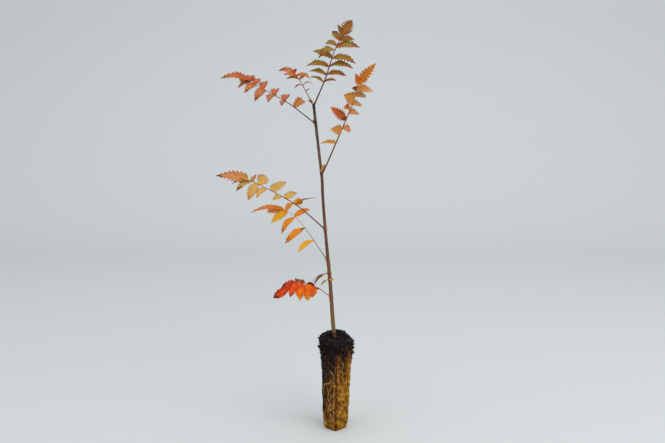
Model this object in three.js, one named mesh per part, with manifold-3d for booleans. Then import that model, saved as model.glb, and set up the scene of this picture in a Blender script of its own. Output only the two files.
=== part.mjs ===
// A rowan sapling in autumn leaf, standing on its own root ball.
// Millimetres, +Z up. The origin is the middle of the root ball's flat underside, and the
// plant is mostly seen from -Y, its front.
import * as THREE from 'three';
import Module from 'manifold-3d';

const wasm = await Module();
wasm.setup();

// ---------------------------------------------------------------- driving dimensions

const CLEARANCE = 0.3; // left between a stalk's foot and the stem, and round the stem's own foot

// Root ball: moulded by a square tray cell that stood with one corner to the front.
const BALL = {
  height: 122, // underside to the soil's rim
  sides: 32, // facets round it
  squareness: 5, // exponent of the rounded square, 2 is a circle
  turn: 45, // degrees that the square is turned, a corner to the front
  crumb: 0.45, // height of the soil's lumps on the moulded sides
  rimCrumb: 1.1, // on the loose rim
  topCrumb: 0.7, // and on the surface round the stem
  loose: [96, 112], // heights between which the sides turn from moulded to loose
  even: 4, // up to this height the lumps grow from nothing
  risingFrom: 100, // above this height the rim follows the rise of the soil
  // height above the underside, width across the flats there
  widths: [[0, 22], [5, 24.5], [22, 27.2], [60, 29], [80, 30.2], [98, 32.8], [112, 35.6], [118, 35.2],
    [122, 33.5]],
  lean: 1.1, // how far the rim sits to the right of the foot
  mound: { height: 7.5, x: 5, y: 12, reachX: 17, reachY: 9 }, // soil heaped behind the stem
  slope: 0.17, // the soil's surface falls to the right by this much
  ripple: { height: 0.6, x: 0.55, y: 0.5 }, // of that surface; radians a millimetre along x and y
};

// The soil's lumps, crossed waves: share of their height, waves round the ball, radians a
// millimetre up it, radians at the start.
const LUMPS = [[0.45, 5, 0.21, 0], [0.35, 11, -0.33, 1], [0.2, 17, 0.55, 2]];

// Heights of the ball's rings, and the shares of the rim's size at the rings on its top.
const BALL_LEVELS = [0, 1.2, 5, 13, 24, 36, 49, 62, 75, 86, 95, 102, 108, 113, 118, BALL.height];
const TOP_RINGS = [0.82, 0.55, 0.27];

// Main roots that show on the ball: bearing at the top, drift in degrees down to the foot,
// height at the top and at the foot, radius.
const ROOTS = [
  [-78, -9, 84, 9, 0.8],
  [-58, 14, 96, 5, 0.9],
  [-20, -12, 104, 8, 0.95],
  [48, -16, 98, 7, 0.85],
  [98, 18, 90, 10, 0.9],
  [146, -14, 96, 6, 0.85],
  [214, 12, 66, 7, 0.85],
  [246, -8, 78, 11, 0.8],
];

const ROOT = {
  steps: 9,
  sides: 4,
  wander: 4.5, // degrees to either side
  winding: 0.15, // radians of its wave a millimetre
  proud: 0.15, // its middle outside the ball's face
  endDepth: 1.2, // its two ends inside it
  taper: 0.35,
};

const STEM = {
  sides: 9,
  steps: 32,
  radii: [[116, 3], [122, 2.95], [132, 2.7], [153, 2.6], [173, 2.4], [213, 2.2], [252, 1.95], [290, 1.8],
    [330, 1.85], [366, 1.7], [391, 1.75], [421, 1.65]],
  // height, distance to the right of the root ball's axis, distance to the back; the first
  // point is the foot, inside the soil, and the last is the fork
  route: [[116, -0.5, 0], [138, -2.9, 0], [192, -6.7, 0.8], [239, -10.9, 1], [266, -13.3, 0.6],
    [311, -16.4, 0], [335, -17.5, -0.4], [354, -19.8, -0.4], [384, -23.2, 0], [421, -27.2, 0]],
  swelling: 0.16, // of the radius, at each node
  swellingReach: 3.2,
  halvings: 24, // in the search for a height on its line
};

// Buds in the leaf axils: height on the stem, bearing in plan, length.
const BUDS = [
  [181, 200, 3.2], [199, 340, 4.4], [218, 345, 3.4], [228, 150, 3.4], [267, 320, 4],
  [343, 318, 5], [402, 165, 3],
];
// rooted is the place of a bud's foot, as a share of the stem's radius
const BUD = { radius: 1.15, rise: 52, rooted: 0.6, steps: 3, sides: 5 };
// A bud's radius follows a sine over this stretch of half a turn, raised to a power.
const PLUMP = { from: 0.35, over: 0.6, fullness: 0.8 };
const TOP_BUD = { radius: 1.3, length: 5.5, bearing: 100, rise: 84, below: 1.5 };

// Bearings in plan: 0 to the right, 90 to the back, 180 to the left, 270 to the front.
// A leaf's stalk starts in the middle of the stem and turns evenly between its bends, each
// [distance up the stalk, bearing, rise]. Its leaflets are
// [distance up the stalk, length, heading, toward, face, bow, width, widest], where
//   heading  its slope seen from the front: 0 to the right, 90 up, 180 to the left, 270 down
//   toward   degrees that it leans to the front, negative to the back
//   face     0 with its blade square to the front, 90 edge on with its upper side up
//   bow      height of its arch, as a share of its length
//   width    times the leaf's usual width, where it isn't 1
//   widest   how far up it is widest, where that isn't the usual place
const LEAVES = [
  {
    name: 'leaf_top', color: 0x7d6a22, foot: 421, radius: [0.95, 0.4], flare: 0.75, blade: 0.36,
    bends: [[0, 31, 63], [28, 35, 61.5], [44, 38, 68], [62, 39, 69], [72, 39, 61], [98, 39, 58]],
    leaflets: [
      [32, 19.5, 157, -10, 64, 0.12, 1.15], [33, 16, 7, 10, 58, 0.12, 1.15],
      [42, 23.5, 166, -15, 56, 0.13, 1.2], [43, 25.5, 356, 15, 52, 0.13, 1.2],
      [53, 30.5, 177, -15, 56, 0.14, 1.2], [54, 30.5, 356, 15, 54, 0.14, 1.15],
      [65, 27, 159, -20, 45, 0.08, 1.35], [64, 31.5, 350, 15, 48, 0.14, 1.15],
      [76, 24, 204, 20, 40, 0.24, 1.3], [80, 29.5, 1, 15, 40, 0.15, 1.25],
      [82, 18.5, 169, -30, 45, 0.2, 1.4], [90, 19.5, 2, 20, 30, 0.16, 1.35],
      [90, 17.5, 124, -30, 25, 0.04, 1.7, 0.45], [97, 18.5, 104, -30, 50, 0, 1.3],
      [97, 18, 29, -30, 50, 0, 1.3], [98, 23.5, 55, 0, 10, 0.04, 1.75, 0.5],
    ],
  },
  {
    name: 'leaf_young', color: 0xa8502c, foot: 419.5, radius: [0.6, 0.3], flare: 0.7, blade: 0.33,
    bends: [[0, 158, 62], [28, 162, 60], [50, 174, 52]],
    leaflets: [
      [6, 6, 105, 40, 10, 0.1, 1.7], [7, 6, 150, 35, 10, 0.1, 1.3],
      [22, 6.5, 40, -20, 50, 0], [30, 11.5, 197, 20, 70, 0.2, 1.3],
      [30, 12.5, 15, 0, 74, 0.2, 1.2], [38, 17, 175, 20, 60, 0.18, 1.3],
      [38, 13.5, 20, -40, 50, 0.3, 1.3], [44, 18.5, 174, 30, 30, 0.18, 1.05],
      [45, 18.5, 341, -15, 38, 0.38, 0.95, 0.35], [50, 9.5, 80, -50, 15, 0.1, 1.5],
      [50, 20.5, 170, 10, 30, 0.25, 1.1],
    ],
  },
  {
    name: 'leaf_upper_left', color: 0xc05a3c, foot: 398.5, radius: [0.75, 0.38], flare: 0.9, blade: 0.4,
    bends: [[0, 158, 36], [32, 160, 35], [50, 163, 28], [103, 170, 28]],
    leaflets: [
      [4, 6, 140, 20, 55, 0, 1.2], [36, 23, 31, -55, 20, 0.3, 1.25, 0.36],
      [51, 18.5, 71, -62, 20, 0.1, 1.5], [51, 13.5, 243, 62, 30, 0.1, 1.5, 0.35],
      [66, 18.5, 79, -62, 15, 0.1, 1.5], [66, 21.5, 229, 62, 45, 0.1, 1.4, 0.35],
      [82, 20.5, 90, -60, 10, 0.1, 1.4], [82, 24.5, 237, 45, 20, 0.1, 1.25, 0.35],
      [94, 18, 92, -62, 15, 0.1, 1.7], [94, 22.5, 220, 45, 35, 0.12, 1.3, 0.35],
      [101, 17.5, 107, -60, 20, 0.1, 1.7], [102, 19.5, 206, 35, 50, 0.1, 1.3, 0.35],
      [102, 16.5, 174, 40, 76, 0.1, 1.3], [102, 38, 173, 5, 45, 0.19, 0.76, 0.38],
    ],
  },
  {
    name: 'leaf_right', color: 0xcf8a3c, foot: 337.5, radius: [1, 0.42], flare: 1, blade: 0.43,
    bends: [[0, 322, 36], [7.5, 322, 60.5], [27, 322, 62], [96, 326, 63], [110, 330, 77], [125, 330, 70]],
    leaflets: [
      [3.5, 5.5, 150, 10, 20, 0, 1.6], [3.5, 9.5, 80, 0, 20, 0.1, 1.2],
      [46, 24.5, 178, 35, 60, 0.02, 0.85, 0.18], [63.5, 20.5, 175, 48, 5, 0.1, 1.35, 0.4],
      [66, 17.5, 346, -50, 30, 0.08, 1.35], [77.2, 25.5, 139, 20, 12, 0.06, 1.05],
      [86, 18.5, 359, -45, 50, 0.1, 1.4], [92.5, 15, 172, 55, 40, 0.1, 1.5],
      [98, 17.5, 2, -50, 45, 0.06, 1.4], [105, 21.5, 158, 50, 0, 0.1, 1.75, 0.4],
      [109, 18.5, 2, -40, 45, 0.08, 1.5], [117, 22.5, 355, -25, 40, 0.08, 1.25, 0.32],
      [117, 9.5, 165, 50, 15, 0.2, 1.7], [124, 14.5, 105, 30, 30, 0.06, 1.4],
      [124, 15.5, 26, -40, 60, 0.06, 1.4], [124, 32.5, 50, 10, 15, 0.05, 0.85, 0.36],
    ],
  },
  {
    name: 'leaf_middle_left', color: 0xcfa04a, foot: 265.5, radius: [0.9, 0.4], flare: 0.8, blade: 0.41,
    bends: [[0, 148, 34], [38, 149, 33], [56, 151, 25], [120, 164, 22], [130, 168, 30]],
    leaflets: [
      [3, 4, 70, 30, 20, 0, 1.3], [55, 31, 15, -20, 85, 0.05, 0.5],
      [57.5, 17, 2, -40, 25, 0.12, 1.4], [71, 26, 20, -50, 35, 0.06, 0.95, 0.26],
      [78, 16, 200, 52, 25, 0.1, 1.2], [93.5, 30.5, 25, -42, 20, 0.05, 0.92, 0.24],
      [100, 23, 220, 48, 48, 0.12, 1.2], [112, 22.5, 53, -54, 0, 0.06, 1.75],
      [115, 27, 242, 35, 12, 0.1, 1.15], [120, 16.5, 84, -60, 45, 0.06, 1.6],
      [122, 26, 208, 30, 50, 0.16, 1.1], [123, 26, 186, 20, 72, 0.14, 1.2],
      [129, 23.5, 182, 10, 72, 0.08], [129, 42, 173, 5, 25, 0.13, 0.86, 0.27],
    ],
  },
  {
    name: 'leaf_lower_left', color: 0xe0961e, foot: 223, radius: [0.55, 0.32], flare: 0.7, blade: 0.35,
    bends: [[0, 135, 43], [46, 136, 43], [76, 141, 34], [102, 150, 16]],
    leaflets: [
      [4, 4, 200, 20, 30, 0], [36, 26.5, 213, 25, 50, 0.14, 1, 0.5],
      [58, 33.5, 216, 20, 42, 0.1, 0.95, 0.5], [79, 29, 226, 25, 45, 0.14, 1.05, 0.45],
      [80, 31, 19, -45, 45, 0.1, 0.85, 0.34], [94, 27.5, 213, 25, 25, 0.13, 1.2],
      [96, 18.5, 49, -50, 35, 0.1, 1.35], [100, 24, 185, 20, 20, 0.08, 1, 0.5],
      [100, 45, 183, 10, 50, 0.14, 0.55, 0.3],
    ],
  },
  {
    name: 'leaf_lowest', color: 0xd9541a, foot: 176, radius: [0.55, 0.34], flare: 0.7, blade: 0.44,
    bends: [[0, 190, 40], [18, 190, 40], [27, 190, 22], [44, 192, 10], [61, 190, -18]],
    leaflets: [
      [20.5, 5, 187, 10, 30, 0, 1.7, 0.5], [27, 14, 179, -30, 45, 0.15, 1.3, 0.45],
      [31.5, 16, 274, 10, 20, 0.06, 1.85], [36.5, 21.5, 270, 22, 5, 0.06, 1.6, 0.33],
      [40.6, 10.5, 153, -50, 30, 0.1, 1.2], [46, 9, 131, -50, 35, 0, 1.2],
      [46, 22.8, 268, 25, 8, 0.06, 1.3, 0.36], [49.8, 9.8, 122, -50, 45, 0],
      [49.5, 25.5, 200, -20, 40, 0.06, 1.05], [53, 19, 248, 25, 15, 0.06, 1.3, 0.38],
      [52, 34, 211, 12, 15, 0.02, 0.74, 0.68],
    ],
  },
];

// What is left of two dead leaves: a stalk and a curled-up blade along it.
const DRIED_LEAVES = [
  {
    name: 'dried_leaf_upper', color: 0x8a6238, foot: 207.5, radius: [0.45, 0.25], flare: 0.4, blade: 0.2,
    bends: [[0, 172, 8], [8, 174, -12], [26, 180, -62]],
    leaflets: [[5, 21, 224, 5, 55, 0.15, 1.05]],
  },
  {
    name: 'dried_leaf_lower', color: 0xb08a4e, foot: 201, radius: [0.45, 0.25], flare: 0.4, blade: 0.22,
    bends: [[0, 200, -8], [6, 202, -26], [16, 205, -62]],
    leaflets: [
      [2.5, 9.5, 8, 40, 20, 0, 1.3], [4, 10.5, 220, 10, 50, 0.1, 1.5],
    ],
  },
];

const STALK = {
  step: 1.5, // between the points of its line
  flareLength: 2.6, // of its thickened foot
  facet: 9, // length of one ring's stretch of the tube
  fewest: 5, // rings' stretches, however short it is
  sides: 5,
};

const LEAFLET = {
  thickness: 0.018, // of its length, at the midrib
  leastThickness: 0.4,
  thinning: 0.4, // lost of it on the way to the tip
  base: 0.06, // place of the first ring, as a share of its length
  from: 0.1, // and the even spacing of the others: from here
  over: 0.8, // over this stretch
  teeth: 3, // a side
  toothDepth: 0.2, // of the half width
  toothReach: 0.035, // of the length, that a tooth points forward
  fold: 0.16, // how far the margins sit above the midrib, as a share of the half width
  widest: 0.42, // how far up it is widest, where its row doesn't say
  taper: 0.9, // exponent of its narrowing to the tip
  sunk: 1.6, // how far short of the stalk's tip the last leaflets are rooted
};

// ---------------------------------------------------------------- helpers

const radians = THREE.MathUtils.degToRad;
const vector = (x, y, z) => new THREE.Vector3(x, y, z);

/** The unit vector at a bearing in plan and a rise above the horizontal. */
function direction(bearing, rise) {
  const flat = Math.cos(radians(rise));
  const up = Math.sin(radians(rise));
  return vector(flat * Math.cos(radians(bearing)), flat * Math.sin(radians(bearing)), up);
}

/** The value at x of a line through [x, value] pairs, level beyond both ends. */
function along(pairs, x) {
  const next = pairs.findIndex((pair) => pair[0] >= x);
  if (next === 0) return pairs[0][1];
  if (next === -1) return pairs.at(-1)[1];
  const [x0, v0] = pairs[next - 1];
  const [x1, v1] = pairs[next];
  return v0 + ((v1 - v0) * (x - x0)) / (x1 - x0);
}

/** A closed skin over rings of points that turn right-handed about the way they go. */
function skin(start, rings, end) {
  const count = rings[0].length;
  const points = [...rings.flat(), start, end];
  const faces = [];
  const first = points.length - 2;
  const last = points.length - 1;
  const tail = (rings.length - 1) * count;
  for (let j = 0; j < count; j += 1) {
    const k = (j + 1) % count;
    faces.push(first, k, j);
    for (let base = 0; base < tail; base += count) {
      faces.push(base + j, base + k, base + count + k);
      faces.push(base + j, base + count + k, base + count + j);
    }
    faces.push(last, tail + j, tail + k);
  }
  const vertProperties = new Float32Array(points.flatMap((p) => p.toArray()));
  return new wasm.Manifold(new wasm.Mesh({ numProp: 3, vertProperties, triVerts: new Uint32Array(faces) }));
}

/** A tube of changing radius along a curve; radiusAt takes the share of its length. */
function taperedTube(curve, radiusAt, steps, sides) {
  const frames = curve.computeFrenetFrames(steps, false);
  const rings = frames.tangents.map((_, i) => {
    const centre = curve.getPointAt(i / steps);
    const radius = radiusAt(i / steps);
    return Array.from({ length: sides }, (__, j) => {
      const angle = (2 * Math.PI * j) / sides;
      return centre.clone()
        .addScaledVector(frames.normals[i], radius * Math.cos(angle))
        .addScaledVector(frames.binormals[i], radius * Math.sin(angle));
    });
  });
  return skin(curve.getPointAt(0), rings, curve.getPointAt(1));
}

/** The largest body of a solid, without the crumbs that a cut leaves behind. */
function largestBody(solid) {
  const bodies = solid.decompose();
  return bodies.reduce((most, body) => (body.volume() > most.volume() ? body : most));
}

/** The named mesh of a solid. */
function meshOf(name, solid, color, roughness) {
  const { vertProperties, triVerts } = solid.getMesh();
  const geometry = new THREE.BufferGeometry();
  geometry.setAttribute('position', new THREE.Float32BufferAttribute(vertProperties, 3));
  geometry.setIndex(new THREE.Uint32BufferAttribute(triVerts, 1));
  geometry.computeVertexNormals();
  const mesh = new THREE.Mesh(geometry, new THREE.MeshStandardMaterial({ color, roughness, metalness: 0 }));
  mesh.name = name;
  return mesh;
}

// ---------------------------------------------------------------- stem

const stemCurve = new THREE.CatmullRomCurve3(STEM.route.map(([z, x, y]) => vector(x, y, z)));

/** The point of the stem's centre line at a height, found by halving. */
function stemPoint(height) {
  let low = 0;
  let high = 1;
  for (let i = 0; i < STEM.halvings; i += 1) {
    const middle = (low + high) / 2;
    if (stemCurve.getPointAt(middle).z < height) low = middle;
    else high = middle;
  }
  return stemCurve.getPointAt(low);
}

/** The stem's radius at a height: its taper, thickened a little where each leaf joins. */
function stemRadius(height) {
  const swell = [...LEAVES, ...DRIED_LEAVES]
    .map((leaf) => Math.exp(-(((height - leaf.foot) / STEM.swellingReach) ** 2)))
    .reduce((most, value) => Math.max(most, value), 0);
  return along(STEM.radii, height) * (1 + STEM.swelling * swell);
}

/** A pointed bud that leans off the stem, rooted in it. */
function bud(foot, lean, length, radius, grow) {
  const tip = foot.clone().addScaledVector(lean, length + grow);
  const curve = new THREE.LineCurve3(foot, tip);
  const radiusAt = (share) => {
    return grow + radius * Math.sin(Math.PI * (PLUMP.from + PLUMP.over * share)) ** PLUMP.fullness;
  };
  return taperedTube(curve, radiusAt, BUD.steps, BUD.sides);
}

/** The stem with its buds, every radius larger by grow. */
function stemSolid(grow) {
  const shaft = taperedTube(stemCurve, (share) => {
    return grow + stemRadius(stemCurve.getPointAt(share).z);
  }, STEM.steps, STEM.sides);
  const axillary = BUDS.map(([height, bearing, length]) => {
    const foot = stemPoint(height).addScaledVector(direction(bearing, 0), BUD.rooted * stemRadius(height));
    return bud(foot, direction(bearing, BUD.rise), length, BUD.radius, grow);
  });
  const fork = STEM.route.at(-1)[0];
  const upward = direction(TOP_BUD.bearing, TOP_BUD.rise);
  const terminal = bud(stemPoint(fork - TOP_BUD.below), upward, TOP_BUD.length, TOP_BUD.radius, grow);
  return [...axillary, terminal].reduce((solid, part) => solid.add(part), shaft);
}

// ---------------------------------------------------------------- leaves

/** Half a leaflet's width, as a share of its greatest, at a share of its length. */
function outline(share, widest) {
  const rising = (LEAFLET.taper * widest) / (1 - widest);
  const peak = widest ** rising * (1 - widest) ** LEAFLET.taper;
  return (share ** rising * (1 - share) ** LEAFLET.taper) / peak;
}

/** One toothed leaflet: a thin blade of lens section, bowed along its length. */
function leafletSolid(root, row, blade) {
  const [, length, heading, toward, face, bow, width = 1, widest = LEAFLET.widest] = row;
  const side = Math.cos(radians(heading)) > 0 ? -1 : 1;
  const reach = Math.cos(radians(toward));
  const way = vector(
    reach * Math.cos(radians(heading)),
    -Math.sin(radians(toward)),
    reach * Math.sin(radians(heading)),
  );
  const front = vector(0, -1, 0).addScaledVector(way, way.y).normalize();
  const crest = way.clone().cross(front).multiplyScalar(side);
  const turned = radians(face);
  const normal = front.multiplyScalar(Math.cos(turned)).addScaledVector(crest, Math.sin(turned));
  const across = way.clone().cross(normal);
  const thickness = Math.max(LEAFLET.leastThickness, LEAFLET.thickness * length);
  const halfWidth = (length * blade * width) / 2;
  const midline = (share) => root.clone()
    .addScaledVector(way, length * share)
    .addScaledVector(normal, length * bow * 4 * share * (1 - share));

  const stations = 2 * LEAFLET.teeth + 1;
  const rings = Array.from({ length: stations }, (_, i) => {
    const share = i === 0 ? LEAFLET.base : LEAFLET.from + (LEAFLET.over * i) / (stations - 1);
    const notch = i % 2 === 0;
    const shift = notch ? 0 : LEAFLET.toothReach;
    const half = halfWidth * outline(share, widest) * (notch ? 1 - LEAFLET.toothDepth : 1);
    const middle = midline(share);
    const edge = midline(share + shift);
    const lift = LEAFLET.fold * half;
    const thick = (thickness / 2) * (1 - LEAFLET.thinning * share);
    return [
      middle.clone().addScaledVector(normal, thick),
      edge.clone().addScaledVector(across, half).addScaledVector(normal, lift),
      middle.clone().addScaledVector(normal, -thick),
      edge.clone().addScaledVector(across, -half).addScaledVector(normal, lift),
    ];
  });
  return skin(midline(0), rings, midline(1));
}

/** A stalk's curve: short steps from the middle of the stem, each the way of the bends there. */
function stalkCurve(leaf) {
  const bearings = leaf.bends.map(([distance, bearing]) => [distance, bearing]);
  const rises = leaf.bends.map(([distance, , rise]) => [distance, rise]);
  const length = leaf.bends.at(-1)[0];
  const count = Math.ceil(length / STALK.step);
  const points = [stemPoint(leaf.foot)];
  for (let i = 0; i < count; i += 1) {
    const middle = (length * (i + 0.5)) / count;
    const way = direction(along(bearings, middle), along(rises, middle));
    points.push(points.at(-1).clone().addScaledVector(way, length / count));
  }
  return new THREE.CatmullRomCurve3(points);
}

/** A compound leaf: stalk and leaflets in one, cut back clear of the stem. */
function leafSolid(leaf, clearOf) {
  const curve = stalkCurve(leaf);
  const length = curve.getLength();
  const radiusAt = (share) => {
    const taper = THREE.MathUtils.lerp(leaf.radius[0], leaf.radius[1], share);
    return taper + leaf.flare * Math.exp(-(share * length) / STALK.flareLength);
  };
  const steps = Math.max(STALK.fewest, Math.round(length / STALK.facet));
  const stalk = taperedTube(curve, radiusAt, steps, STALK.sides);
  const whole = leaf.leaflets.reduce((solid, row) => {
    const root = curve.getPointAt(Math.min(row[0], length - LEAFLET.sunk) / length);
    return solid.add(leafletSolid(root, row, leaf.blade));
  }, stalk);
  return largestBody(whole.subtract(clearOf));
}

// ---------------------------------------------------------------- root ball

/** The ball's moulded radius at a bearing and height: a rounded square, turned. */
function ballRadius(bearing, height) {
  const angle = radians(bearing - BALL.turn);
  const p = BALL.squareness;
  const round = (Math.abs(Math.cos(angle)) ** p + Math.abs(Math.sin(angle)) ** p) ** (-1 / p);
  return (along(BALL.widths, height) / 2) * round;
}

/** The middle of the ball at a height. */
function ballCentre(height) {
  return vector((BALL.lean * height) / BALL.height, 0, 0);
}

/** Uneven soil, between -1 and 1: crossed waves that close round the ball. */
function lumps(bearing, height) {
  const angle = radians(bearing);
  return LUMPS
    .map(([share, round, climb, start]) => share * Math.sin(round * angle + climb * height + start))
    .reduce((sum, wave) => sum + wave, 0);
}

/** How far the loose soil stands above the rim's level at a place in plan. */
function soilRise(x, y) {
  const { height, reachX, reachY } = BALL.mound;
  const heap = Math.exp(-(((x - BALL.mound.x) / reachX) ** 2) - (((y - BALL.mound.y) / reachY) ** 2));
  const ripple = BALL.ripple.height * Math.sin(BALL.ripple.x * x + 1) * Math.cos(BALL.ripple.y * y);
  return height * heap - BALL.slope * x + ripple;
}

/** The ball's outside from its flat underside over the rim to the middle of its top. */
function ballSkin() {
  const bearings = Array.from({ length: BALL.sides }, (_, j) => (360 * j) / BALL.sides);
  const sides = BALL_LEVELS.map((height) => bearings.map((bearing) => {
    const loose = THREE.MathUtils.smoothstep(height, ...BALL.loose);
    const still = THREE.MathUtils.smoothstep(height, 0, BALL.even);
    const size = THREE.MathUtils.lerp(BALL.crumb, BALL.rimCrumb, loose) * still;
    const radius = ballRadius(bearing, height) + size * lumps(bearing, height);
    const place = direction(bearing, 0).multiplyScalar(radius).add(ballCentre(height));
    const loosened = THREE.MathUtils.smoothstep(height, BALL.risingFrom, BALL.height);
    const rise = soilRise(place.x, place.y) * loosened;
    return place.setZ(height + rise);
  }));
  const rim = sides.at(-1);
  const top = TOP_RINGS.map((share) => rim.map((edge, j) => {
    const x = edge.x * share;
    const y = edge.y * share;
    const unevenness = BALL.topCrumb * lumps(bearings[j], BALL.height * share);
    return vector(x, y, BALL.height + soilRise(x, y) + unevenness);
  }));
  return skin(vector(0, 0, 0), [...sides, ...top], vector(0, 0, BALL.height + soilRise(0, 0)));
}

/** One main root, half sunk in the ball's side, winding on its way down. */
function rootSolid([bearing, drift, top, foot, radius]) {
  const points = Array.from({ length: ROOT.steps + 1 }, (_, i) => {
    const share = i / ROOT.steps;
    const height = THREE.MathUtils.lerp(top, foot, share);
    const angle = bearing + drift * share + ROOT.wander * Math.sin(ROOT.winding * height + bearing);
    const depth = i === 0 || i === ROOT.steps ? ROOT.endDepth : -ROOT.proud;
    const reach = ballRadius(angle, height) - depth;
    return direction(angle, 0).multiplyScalar(reach).add(ballCentre(height)).setZ(height);
  });
  const curve = new THREE.CatmullRomCurve3(points);
  return taperedTube(curve, (share) => radius * (1 - ROOT.taper * share), ROOT.steps + 1, ROOT.sides);
}

/** The root ball with its roots and the socket that the stem's foot stands in. */
function ballSolid(socket) {
  const whole = ROOTS.reduce((solid, root) => solid.add(rootSolid(root)), ballSkin());
  return whole.subtract(socket);
}

// ---------------------------------------------------------------- the plant

const stem = stemSolid(0);
const grownStem = stemSolid(CLEARANCE);
// The stem's room in the soil: the grown stem, and the same again a clearance lower.
const socket = grownStem.add(grownStem.translate([0, 0, -CLEARANCE]));

const plant = new THREE.Group();
plant.add(meshOf('root_ball', ballSolid(socket), 0x4a3626, 0.95));
plant.add(meshOf('stem', stem, 0x6b4a3a, 0.6));
[...LEAVES, ...DRIED_LEAVES].forEach((leaf) => {
  plant.add(meshOf(leaf.name, leafSolid(leaf, grownStem), leaf.color, 0.65));
});

export default plant;
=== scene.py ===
"""Looks of a rowan sapling in autumn leaf on its own root ball.

Shapes are worked out in millimetres in the part's frame, +Z up and -Y to the front, and are
scaled to metres when they become a mesh.
"""

import bpy
import numpy as np
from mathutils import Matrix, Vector


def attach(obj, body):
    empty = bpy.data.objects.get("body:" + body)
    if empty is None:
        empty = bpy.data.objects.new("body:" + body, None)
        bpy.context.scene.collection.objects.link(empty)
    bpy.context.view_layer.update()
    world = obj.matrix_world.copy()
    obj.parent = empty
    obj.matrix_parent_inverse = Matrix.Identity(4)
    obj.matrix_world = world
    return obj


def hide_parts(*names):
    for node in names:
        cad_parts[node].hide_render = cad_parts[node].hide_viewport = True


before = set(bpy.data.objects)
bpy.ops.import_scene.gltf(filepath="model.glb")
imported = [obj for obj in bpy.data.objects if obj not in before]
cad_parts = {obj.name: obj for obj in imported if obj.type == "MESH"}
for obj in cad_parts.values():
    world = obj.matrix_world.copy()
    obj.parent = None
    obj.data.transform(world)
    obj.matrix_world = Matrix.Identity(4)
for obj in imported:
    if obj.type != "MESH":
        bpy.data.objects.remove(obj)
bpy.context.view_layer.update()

MM = 0.001
BODY = "root"
TURN = 2 * np.pi

# ---------------------------------------------------------------- driving dimensions

BALL_HEIGHT = 122.0  # underside to the soil's rim
BALL_SQUARENESS = 5.0  # exponent of the rounded square in plan
BALL_TURN = 45.0  # a corner of the square stands to the front
BALL_LEAN = 1.1  # how far the rim sits to the right of the foot
FIRM_LUMPS, LOOSE_LUMPS = 0.45, 1.1  # how far the soil is uneven, in the mat and above it
SEAM_BEARING, SEAM_REACH = 271, 4.2
# Height, width across the flats.
BALL_WIDTHS = np.array([
    [0, 22], [5, 24.5], [22, 27.2], [60, 29], [80, 30.2], [98, 32.6], [112, 34.6], [118, 34], [122, 32.5],
])
MOUND_HEIGHT, MOUND_X, MOUND_Y, MOUND_REACH_X, MOUND_REACH_Y = 7.5, 5.0, 12.0, 17.0, 9.0
SOIL_SLOPE = 0.17  # fall of the soil's surface to the right
MILLIMETRES_A_DEGREE = 0.27  # along the ball's side
DIMPLE_DEPTH, DIMPLE_REACH = 3.6, 6.5  # of the soil round the stem's foot
# The gaps are painted dark: partly the soil seen through them, partly painted shade.
GAPS_ROUND, GAPS_UP = 26, 33  # dark gaps between the roots, round the ball and up it
GAP_SPACING, GAP_DEPTH = 3.75, 0.6

# How high the mat of fine roots hides the soil, and how golden it is, by bearing. The mat stops low at 182 to
# 200, the far left edge, so the near-black soil runs down it as painted shade, and the left face's brown is
# partly the mat's own colour and partly painted shade of the face turned from the light.
MAT_HEIGHTS = np.array([
    [0, 98], [20, 88], [45, 72], [80, 96], [110, 84], [135, 60], [165, 66], [182, 24], [200, 22],
    [214, 56], [246, 68], [262, 76], [271, 104], [290, 92], [310, 84], [340, 100], [350, 98], [360, 98],
])
MAT_LIGHTS = np.array([
    [0, 0.9], [60, 0.55], [120, 0.7], [180, 0.25], [200, 0.12], [262, 0.16], [274, 0.9], [360, 0.9],
])

# Main roots: bearing at the top, drift in degrees down to the foot, height at the top and at
# the foot, radius.
MAIN_ROOTS = np.array([
    [-78, -9, 84, 9, 0.8],
    [-58, 14, 96, 5, 0.9],
    [-20, -12, 104, 8, 0.95],
    [48, -16, 98, 7, 0.85],
    [98, 18, 90, 10, 0.9],
    [146, -14, 96, 6, 0.85],
    [214, 12, 66, 7, 0.85],
    [246, -8, 78, 11, 0.8],
])

ROOT_WANDER, ROOT_WINDING = 4.5, 0.15  # degrees to either side, radians of the wave a millimetre
MAIN_ROOTS_SHOWN = 0.8  # of a main root's radius, with the finer roots over it
WINDING_RADIUS = 0.45

# Pale roots that wind over the front of the ball, each through its (bearing, height) points.
WINDING_ROOTS = [
    [(243, 83), (254, 80), (260, 76), (252, 71), (232, 65), (217, 63), (204, 62), (198, 55), (197, 42)],
    [(264, 68), (251, 60), (235, 52), (223, 44), (215, 35), (209, 25), (205, 15), (206, 6)],
    [(277, 92), (275, 83), (280, 71), (290, 61), (304, 53), (309, 45), (303, 38)],
    [(292, 96), (302, 88), (294, 83), (306, 77), (296, 71), (310, 66)],
    [(330, 108), (342, 99), (347, 88), (343, 74), (347, 60), (344, 40), (348, 20)],
    [(307, 33), (318, 35.5), (333, 33), (337, 29), (325, 26.5), (311, 29), (306, 33), (296, 34)],
    [(262, 72), (258, 66), (263, 60), (259, 50), (263, 42), (260, 30), (258, 20), (262, 6)],
    [(222, 60), (230, 52), (224, 44), (236, 38), (230, 30), (242, 24), (236, 14)],
    [(285, 60), (281, 48), (287, 36), (281, 24), (286, 10)],
    [(244, 46), (236, 40), (246, 33), (238, 27), (250, 20), (244, 8)],
]

# The largest clods at the soil's rim: bearing, height, radius.
CLODS = np.array([
    [193, 121, 2.3], [187, 118, 2.0], [200, 113, 2.1], [189, 110, 1.9], [216, 121, 1.8],
    [232, 119, 1.6], [352, 119, 1.9], [344, 113, 1.7], [2, 116, 1.9], [357, 109, 1.5],
    [326, 118, 1.7], [306, 116, 1.5], [252, 114, 1.5], [274, 118, 1.6], [286, 111, 1.4],
    [30, 119, 2.0], [62, 121, 2.1], [95, 119, 1.8], [118, 114, 1.9], [140, 120, 2.0], [166, 117, 1.8],
])

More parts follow.
